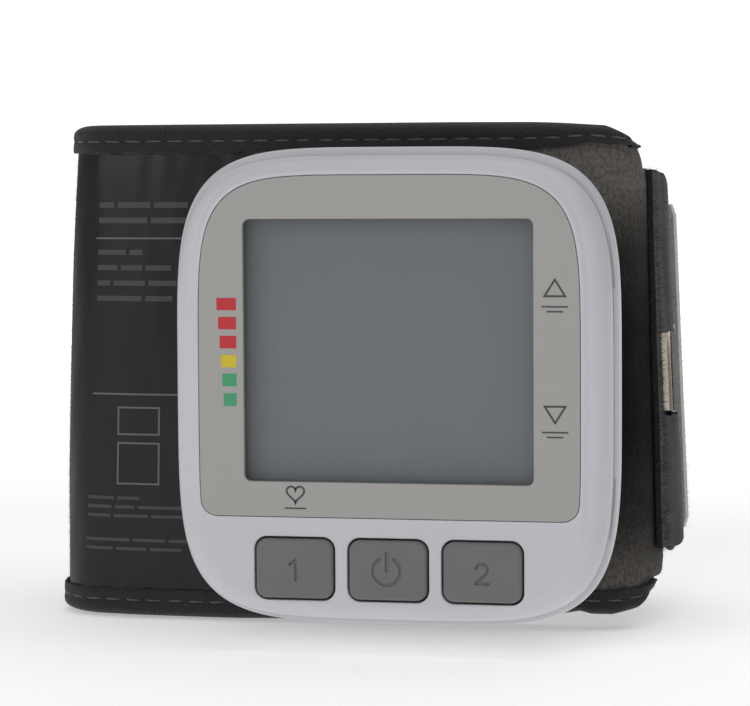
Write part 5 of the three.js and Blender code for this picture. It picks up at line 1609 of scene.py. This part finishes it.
def tab_path(bend):
    """The tab's middle line round the ring's front bar, and where its fold starts and ends."""
    right = FRONT_BAR[0] + bend
    outer = [*TAB_OUTER, (right - 0.6, 46.6), (right - 0.1, 49.6)]
    fold = arc(FRONT_BAR, bend, 0, 180, 40)
    outer = curve_through([*outer, FRONT_BAR + (bend, 0)], 12)
    inner = curve_through([FRONT_BAR - (bend, 0), *TAB_INNER], 12)
    return Path(np.vstack([outer[:-1], fold, inner[1:]])), fold


def ring_tab():
    """The woven tab: a strip folded round the ring's front bar, sewn to the cuff, tightest at its top."""
    path, fold = tab_path(TAB_BEND)
    tight = tab_path(WIRE_RADIUS + GAP + TAB_THICKNESS / 2)[0]
    nearest = lambda point: path.run[np.argmin(np.linalg.norm(path.fine - point, axis=1))] / path.length
    fold_start, fold_end = nearest(fold[0]), nearest(fold[-1])
    notch_start = path.run[np.argmax(path.fine[:, 1] > TAB_NOTCH)] / path.length
    notch_end = fold_end + NOTCH_PAST_FOLD / path.length

    def drawn(share, heights, sway):
        """Places at a share and heights, drawn towards the tight path as they go up."""
        places, outs = path.at(share)
        pull = softstep((heights[:, None] - TAB_PULL_START) / TAB_PULL_REACH)
        return np.column_stack([places + pull * (tight.at(share)[0] - places) + sway * outs, heights])

    columns, lines = [], []
    steps, shares = np.linspace(0, 1, 170), np.linspace(0, 1, 190)
    count = len(steps)
    for share in shares:
        narrow = softstep((share - fold_start + 0.17) / 0.2) * softstep((fold_end + 0.12 - share) / 0.12)
        slope = softstep(share / fold_start)
        bottom = TAB_FOOT - TAB_FOOT_SLOPE * slope + narrow * (TUNNEL_BOTTOM - TAB_FOLD_FOOT)
        top = TAB_TOP - TAB_TOP_SLOPE * slope + narrow * (TUNNEL_TOP - TAB_FOLD_TOP)
        heights = bottom + steps * (top - bottom)
        begin = share + TAB_LEAN * steps * (1 - share)
        sway = TAB_WAVE * unevenness(share * 0.4, heights, 5)[:, None]
        columns.append(flared(drawn(begin, heights, sway)))
        lines.append(np.column_stack([begin * path.length, heights]))
    faces = []
    middles = (notch_end + notch_start) / 2, (SLEEVE_TOP + SLEEVE_BOTTOM) / 2
    halves = (notch_end - notch_start) / 2, (SLEEVE_TOP - SLEEVE_BOTTOM) / 2 + GAP
    for i in range(len(shares) - 1):
        along = abs((shares[i] + shares[i + 1]) / 2 - middles[0]) / halves[0]
        for k in range(count - 1):
            up = abs((columns[i][k] + columns[i + 1][k + 1])[2] / 2 - middles[1]) / halves[1]
            if along**10 + up**10 > 1:
                first = i * count + k
                faces.append((first, first + count, first + count + 1, first + 1))
    made = mesh_object("tab_strip", np.vstack(columns), faces, "tab_weave", uv=np.vstack(lines), sharp=60)
    loose = bmesh.new()
    loose.from_mesh(made.data)
    bmesh.ops.delete(loose, geom=[v for v in loose.verts if not v.link_faces], context="VERTS")
    loose.to_mesh(made.data)
    loose.free()
    modified(made, ("SOLIDIFY", {"thickness": TAB_THICKNESS * MM, "offset": 0}), bevel(0.28, 3, 60))
    pieces = [made]
    for low, high in TAB_ROWS:
        row = flared(drawn(TAB_ROW_SHARE, np.linspace(high, low, 60), TAB_THICKNESS / 2 - 0.02))
        pieces.append(stitches("tab_row", row, "tab_fibre", radius=0.16))
    pieces.append(loose_fibres("tab_fuzz", made, tab_density, 0.0013, "tab_fibre", 6, 1.0))
    keep(smoothed(joined("ring_tab_sewn", pieces)), "monitor", "woven_black", "ring_tab")


def tab_density(x, y):
    """Loose threads stand on the tab's rough front strip."""
    return np.clip(0.04 + softstep((43.5 - y) / 2.5), 0, 1) * (x > 32)


def wire_ring():
    """The ring: a wire bent to a rectangle, round at its corners."""
    bars = np.linalg.norm(REAR_BAR - FRONT_BAR)
    middle = (RING_TOP + RING_BOTTOM) / 2
    outline = evenly(round_rectangle(bars, RING_TOP - RING_BOTTOM, RING_CORNER, bars / 2, middle), 220)
    share = outline[:, :1] / bars
    centres = flared(np.column_stack([FRONT_BAR + share * (REAR_BAR - FRONT_BAR), outline[:, 1]]))
    run = np.roll(centres, -1, 0) - np.roll(centres, 1, 0)
    run /= np.linalg.norm(run, axis=1, keepdims=True)
    across = np.cross([1.0, 0, 0], run)
    across /= np.linalg.norm(across, axis=1, keepdims=True)
    ring = WIRE_RADIUS * circle(np.arange(16) / 16 * 2 * np.pi)
    rings = [centre + ring @ [a, o] for centre, a, o in zip(centres, across, np.cross(run, across))]
    keep(skin("wire_ring", rings, "black_wire", closed=True), "ring", "black_wire", "strap_ring")


def ring_sleeve():
    """The metal sleeve round the bar in the tab's notch, whose corners grip the weave."""
    angles = np.linspace(0, 2 * np.pi, 48, endpoint=False)
    prong = softstep((PRONG_HALF - np.abs(np.cos(angles + np.pi / 2))) / PRONG_FADE)
    inner = WIRE_RADIUS + GAP
    profile = []
    for end, up, alongs in (
        (SLEEVE_TOP, 1, (1.0, 0.75, 0.5, 0.25, 0.0)),
        (SLEEVE_BOTTOM, -1, (0.0, 0.25, 0.5, 0.75, 1.0)),
    ):
        for along in alongs:
            height = end - up * 0.15 + up * prong * PRONG_LENGTH * along
            profile.append((height, PRONG_SPREAD * prong * softstep(along * 2)))
    faces = [(inner + SLEEVE_THICKNESS, *item) for item in profile]
    faces += [(inner, *item) for item in profile[::-1]]
    rings = [
        flared(np.column_stack([FRONT_BAR + (radius + widen)[:, None] * circle(angles), height]))
        for radius, height, widen in faces
    ]
    made = skin("sleeve_clip", rings, "bright_metal", closed=True, sharp=50)
    keep(made, "monitor", "bright_metal", "ring_sleeve")


def strap_pieces():
    """The strap's two parts, its hook patch and the tape on its tip."""
    start = (REAR_BAR[0] - FOLD_RADIUS / 4, REAR_BAR[1] - FOLD_RADIUS)
    base_path = Path(curve_through([*loop_points(STRAP_IN), start], 14))
    fold = arc(REAR_BAR, FOLD_RADIUS, -30, 90, 26)
    back = curve_through([fold[-1], *loop_points(STRAP_OUT)], 14)
    end_path = Path(np.vstack([fold[:-1], back]))
    for node, path, count, bodies, start, end in (
        ("strap_base", base_path, 60, ("monitor", "ring"), (30.2, 59.0, -6), (32.4, 59.2, -6)),
        ("strap_end", end_path, 110, ("ring", "strap"), (34.9, 60.4, -6), (32.4, 63.4, -6)),
    ):
        made = strip(node + "_band", path, STRAP_ENDS, STRAP_THICKNESS, "plush", count, 30, 0.6)
        length = look("strap").pile
        fuzz = loose_fibres(node + "_fuzz", made, strap_density, length, "plush_fibre", 2.4, 0.8, 0.035)
        piece = smoothed(joined(node + "_plush", [made, fuzz]))
        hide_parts(node)
        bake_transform(piece)
    low, high = ends = STRAP_BOTTOM + HOOK_MARGIN, STRAP_TOP - HOOK_MARGIN
    front, back = lambda share, v, z: HOOK_FACE, lambda share, v, z: HOOK_BACK
    shares, flat_or_shade = np.linspace(*HOOK_ENDS, 60), lambda share: ends
    patch = layer("hook_tape", shares, front, back, flat_or_shade, "hook_nylon", 20, path=end_path)
    piece = smoothed(joined("hook_field", [patch, hook_rows(end_path, low, high)]))
    keep(piece, "strap", "hook_plastic", "hook_patch")
    keep(strap_tip(end_path.at(1.0)[0]), "strap", "woven_black", "strap_tip")


def strap_density(x, y):
    """The pile stands over the whole strap, thickest at the fold."""
    return np.clip(0.45 + 0.55 * softstep((x - 22) / 6), 0, 1)


def hook_rows(path, low, high):
    """Rows of small hooks on the patch, each made once and repeated."""
    square = np.array([(1, 1, 0), (-1, 1, 0), (-1, -1, 0), (1, -1, 0)])
    rings = [centre + width * square for centre, width in zip(np.array(HOOK_BEND), HOOK_WIDTHS)]
    points, faces = loft(rings)
    hook = placed("hook", bpy.data.meshes.new("hook"))
    hook.data.from_pydata((points * MM).tolist(), [], faces)
    shares = np.arange(HOOK_ENDS[0] + 0.006, HOOK_ENDS[1] - 0.006, HOOK_PITCH / path.length)
    heights = np.arange(low + 0.6, high - 0.5, HOOK_ROW)
    spots, normals = [], []
    for i, (place, out) in enumerate(zip(*path.at(shares))):
        for height in heights:
            spots.append(flared([*(place + (HOOK_FACE - 0.02) * out), height + i % 2 * HOOK_SHIFT]))
            normals.append([*out, 0])
    mesh = bpy.data.meshes.new("hook_spots")
    mesh.from_pydata(to_row(spots).tolist(), [], [])
    attribute = mesh.attributes.new("outward", "FLOAT_VECTOR", "POINT")
    attribute.data.foreach_set("vector", np.asarray(normals, np.float32).ravel())
    spots = placed("hook_spots", mesh)
    made = grown("hooks", spots, spot_tree, Piece=hook, Turn=0.5, Seed=3, Material=finish("hook_nylon"))
    remove(spots, hook)
    return made


def spot_tree():
    """Puts a piece at each vertex, standing along the attribute named outward."""
    tree, add, value = node_tree(
        "Pieces at Spots", ("Piece", "Object"), ("Turn", "Float"), ("Seed", "Int"), ("Material", "Material")
    )
    outward = attribute_value(add, "FLOAT_VECTOR", "outward")
    stood = add("FunctionNodeAlignRotationToVector", {"axis": "Z"}, {"Vector": outward})
    low, high = (add("ShaderNodeCombineXYZ", None, {"Z": value["Turn"] * sign}) for sign in (-1, 1))
    info = tree.nodes.new("GeometryNodeObjectInfo")
    feed(tree, value["Piece"], info.inputs["Object"])
    piece = Value(tree, info.outputs["Geometry"])
    turn = random_turn(add, low, high, value)
    return end_tree(tree, add, value["Geometry"], piece, stood, turn, value["Material"])


def strap_tip(end):
    """The tape folded over the strap's end, with a row of stitches on each side."""
    leg = STRAP_THICKNESS / 2 + GAP + TIP_HALF
    ends = [[(end[0] + TIP_LENGTH, end[1] + side * leg)] for side in (1, -1)]
    line = np.vstack([ends[0], arc((end[0] - 0.3, end[1]), leg, 90, 270, 24), ends[1]])
    tape = Path(evenly(line, 120, closed=False))
    pieces = [strip("tip_tape", tape, STRAP_ENDS, 2 * TIP_HALF, "tape", 90, 24, 0.2)]
    heights = np.linspace(STRAP_BOTTOM + 1, STRAP_TOP - 1, 50)
    sunk = leg + TIP_HALF - 0.06
    for out in (sunk, -sunk):
        row = [(end[0] + TIP_LENGTH - TIP_ROW, end[1] + out, height) for height in heights]
        pieces.append(stitches("tip_row", flared(row), length=TIP_STITCH))
    return smoothed(joined("tip_sewn", pieces))


def screws():
    """The case's screws: a domed head with a cross recess on a threaded shank."""
    turns = circle(np.arange(32) / 32 * 2 * np.pi)
    rings = [at_depth(radius * turns, y) for y, radius in SCREW_PROFILE]
    made = []
    for x, z in CASE_SCREWS:
        screw = skin("screw", [ring + (x, 0, z) for ring in rings], "steel", sharp=40)
        for wide, tall in ((0.75, 0.17), (0.17, 0.75)):
            shaped(screw, block("cross", (x - wide, x + wide), (15.35, 17), (z - tall, z + tall), "steel"))
        made.append(smoothed(screw, 40))
    keep(joined("case_screw_set", made), "monitor", "steel", *[f"case_screw_{i + 1}" for i in range(4)])


# Finishes of the pieces inside, which keep their own shapes
INNER_FINISHES = {
    "black_plastic": "lcd_holder main_chip buzzer first_memory_switch power_switch second_memory_switch "
    "pump_head release_valve",
    "grey_plastic": "pressure_sensor air_manifold cuff_splint",
    "rubber": "upper_lcd_connector lower_lcd_connector pump_tube valve_tube sensor_tube air_inlet",
    "steel": "board_screw_1 board_screw_2 door_spring cell_spring pump_motor cuff_screw_1 cuff_screw_2 "
    "cuff_screw_3 cuff_screw_4",
    "bright_metal": "door_contact upper_cell_contact lower_cell_contact",
    "case_white": "battery_tray",
    "circuit_board": "main_board",
    "cell_wrap": "upper_cell lower_cell",
}


def inner_finishes():
    for material, names in INNER_FINISHES.items():
        for name in names.split():
            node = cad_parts[name]
            if not node.material_slots:
                node.data.materials.append(finish(material))
            for slot in node.material_slots:
                slot.material = finish(material)


# The stage

# The camera that fits the photograph's lines: its place, turns in degrees, lens and shift in pixels
CAMERA_PLACE = (91.722, -421.288, 26.979)
CAMERA_YAW, CAMERA_PITCH, CAMERA_ROLL = 12.283, 3.581, -0.340
CAMERA_LENS, PICTURE_WIDTH = 144, 750
CAMERA_SHIFT = (-11.645, -1.445)
LOOK_AT = (0, 0, 0.04)
FLOOR_DROP = 0.0003
# How far towards the camera's view the bright field behind starts, and where it is full
FIELD_START, FIELD_FULL = 0.78, 0.96


def camera():
    yaw, pitch, roll = (math.radians(a) for a in (CAMERA_YAW, CAMERA_PITCH, CAMERA_ROLL))
    back = Vector((math.sin(yaw) * math.cos(pitch), -math.cos(yaw) * math.cos(pitch), math.sin(pitch)))
    right = Vector((0, 0, 1)).cross(back).normalized()
    up = back.cross(right)
    turned_right = math.cos(roll) * right + math.sin(roll) * up
    turned_up = -math.sin(roll) * right + math.cos(roll) * up
    data = bpy.data.cameras.new("camera")
    data.sensor_fit = "HORIZONTAL"
    data.sensor_width = 36
    data.lens = CAMERA_LENS
    data.shift_x, data.shift_y = (shift / PICTURE_WIDTH for shift in CAMERA_SHIFT)
    data.clip_start = 0.01
    made = placed("camera", data)
    turn = Matrix((turned_right, turned_up, back)).transposed()
    made.matrix_world = Matrix.Translation(Vector(to_row(CAMERA_PLACE))) @ turn.to_4x4()
    bpy.context.scene.camera = made


def area_light(name, place, size, power):
    data = bpy.data.lights.new(name, "AREA")
    data.shape = "RECTANGLE"
    data.size, data.size_y = size
    data.energy = power
    made = placed(name, data)
    made.location = place
    made.rotation_euler = (Vector(LOOK_AT) - Vector(place)).to_track_quat("-Z", "Y").to_euler()


def floor():
    """A plain pale floor that grows brighter with distance, so that it meets the sky without a line."""
    work = bmesh.new()
    bmesh.ops.create_grid(work, x_segments=2, y_segments=2, size=3)
    mesh = bpy.data.meshes.new("floor")
    work.to_mesh(mesh)
    work.free()
    mesh.transform(Matrix.Translation((0, 0, -FLOOR_DROP)))
    made = placed("floor", mesh)
    paint = Finish("floor", base_color=(0.92, 0.92, 0.92), specular_ior_level=0.1, emission_strength=1.0)
    where = paint.place()
    grain = paint.noise(where, 40)
    far = paint.ramp(paint.parts(where)[1] / 1000, (0.12, 0.0), (0.75, 1.0))
    tone = paint.mix(far, (look("stage").glow,) * 3, (1.0, 1.0, 1.0))
    mesh.materials.append(paint.set(roughness=0.85 + grain * 0.1, emission_color=tone))


def sky():
    """Soft dim light all round, and a bright field behind the object for the camera."""
    world = bpy.data.worlds.new("studio")
    world.use_nodes = True
    bpy.context.scene.world = world
    tree = world.node_tree
    tree.nodes.clear()
    split = tree.nodes.new("ShaderNodeSeparateXYZ")
    feed(tree, add_node(tree, "ShaderNodeTexCoord", output="Generated"), split.inputs[0])
    x, y = (Value(tree, split.outputs[axis]) for axis in "XY")
    yaw = math.radians(CAMERA_YAW)
    forward = y * math.cos(yaw) - x * math.sin(yaw)
    sockets = {"Value": forward, "From Min": FIELD_START, "From Max": FIELD_FULL}
    sockets |= {"To Min": look("stage").front, "To Max": look("stage").behind}
    depth = add_node(tree, "ShaderNodeMapRange", {"interpolation_type": "SMOOTHSTEP"}, sockets)
    background = add_node(tree, "ShaderNodeBackground", None, {"Color": (1, 1, 1), "Strength": depth})
    tree.links.new(background.socket, tree.nodes.new("ShaderNodeOutputWorld").inputs[0])


def stage_all():
    stage = look("stage")
    floor()
    sky()
    area_light("above", (0.2, 0.1, 0.9), (1.2, 1.0), stage.above)
    area_light("left", (-0.6, -0.8, 0.35), (0.45, 0.45), stage.side)
    area_light("front", (-0.15, -1.0, 0.75), (0.7, 0.5), stage.key)
    camera()
    bpy.context.scene.view_settings.view_transform = "Standard"


# Operators, panel and registration


def operator(identifier, label, text, action):
    """An operator class that runs one builder."""

    def execute(self, context):
        action()
        return {"FINISHED"}

    return type(
        "MONITOR_OT_" + identifier,
        (bpy.types.Operator,),
        {"bl_idname": "monitor." + identifier, "bl_label": label, "__doc__": text, "execute": execute},
    )


OPERATORS = [
    operator("build_stage", "Stage", "Make the floor, the lights and the camera", stage_all),
    operator("build_front", "Front Housing", "Make the front shell with its openings", front_housing),
    operator("build_rear", "Rear Housing", "Make the back shell with its wells and doorway", rear_housing),
    operator("build_door", "Battery Door", "Make the sliding door of the compartment", battery_door),
    operator("build_panel", "Face Panel", "Make the face plate", face_panel),
    operator("build_display", "Display", "Make the window and the display", display_pieces),
    operator("build_marks", "Panel Marks", "Make the printed marks on the panel", panel_marks),
    operator("build_keys", "Keys", "Make the three keys", keys),
    operator("build_screws", "Case Screws", "Make the case's screws", screws),
    operator("build_cuff", "Cuff", "Make the cuff's velour, lining and air pouch", cuff_layers),
    operator("build_bindings", "Edge Bindings", "Make the sewn edge tapes", bindings),
    operator("build_film", "Print Window", "Make the clear film with its rules", print_window),
    operator("build_tab", "Ring Tab", "Make the woven tab", ring_tab),
    operator("build_ring", "Strap Ring", "Make the wire ring", wire_ring),
    operator("build_sleeve", "Ring Sleeve", "Make the metal sleeve", ring_sleeve),
    operator("build_strap", "Strap", "Make the strap, its hooks and its tip", strap_pieces),
    operator("finish_inside", "Inner Pieces", "Give the pieces inside their finishes", inner_finishes),
]


class MONITOR_PT_build(bpy.types.Panel):
    """Lists the pieces of the monitor"""

    bl_label = "Wrist Blood Pressure Monitor"
    bl_idname = "MONITOR_PT_build"
    bl_space_type = "VIEW_3D"
    bl_region_type = "UI"
    bl_category = "Monitor"

    def draw(self, context):
        for item in OPERATORS:
            self.layout.operator(item.bl_idname)


GROUPS = {
    "case_look": CaseLook,
    "display_look": DisplayLook,
    "cuff_look": CuffLook,
    "strap_look": StrapLook,
    "stage_look": StageLook,
}


def register():
    for item in [*GROUPS.values(), *OPERATORS, MONITOR_PT_build]:
        bpy.utils.register_class(item)
    for name, group in GROUPS.items():
        setattr(bpy.types.Scene, name, PointerProperty(type=group))


def unregister():
    for name in GROUPS:
        delattr(bpy.types.Scene, name)
    for item in reversed([*GROUPS.values(), *OPERATORS, MONITOR_PT_build]):
        bpy.utils.unregister_class(item)


def main():
    register()
    for item in OPERATORS:
        group, name = item.bl_idname.split(".")
        getattr(getattr(bpy.ops, group), name)()


if __name__ == "__main__":
    main()
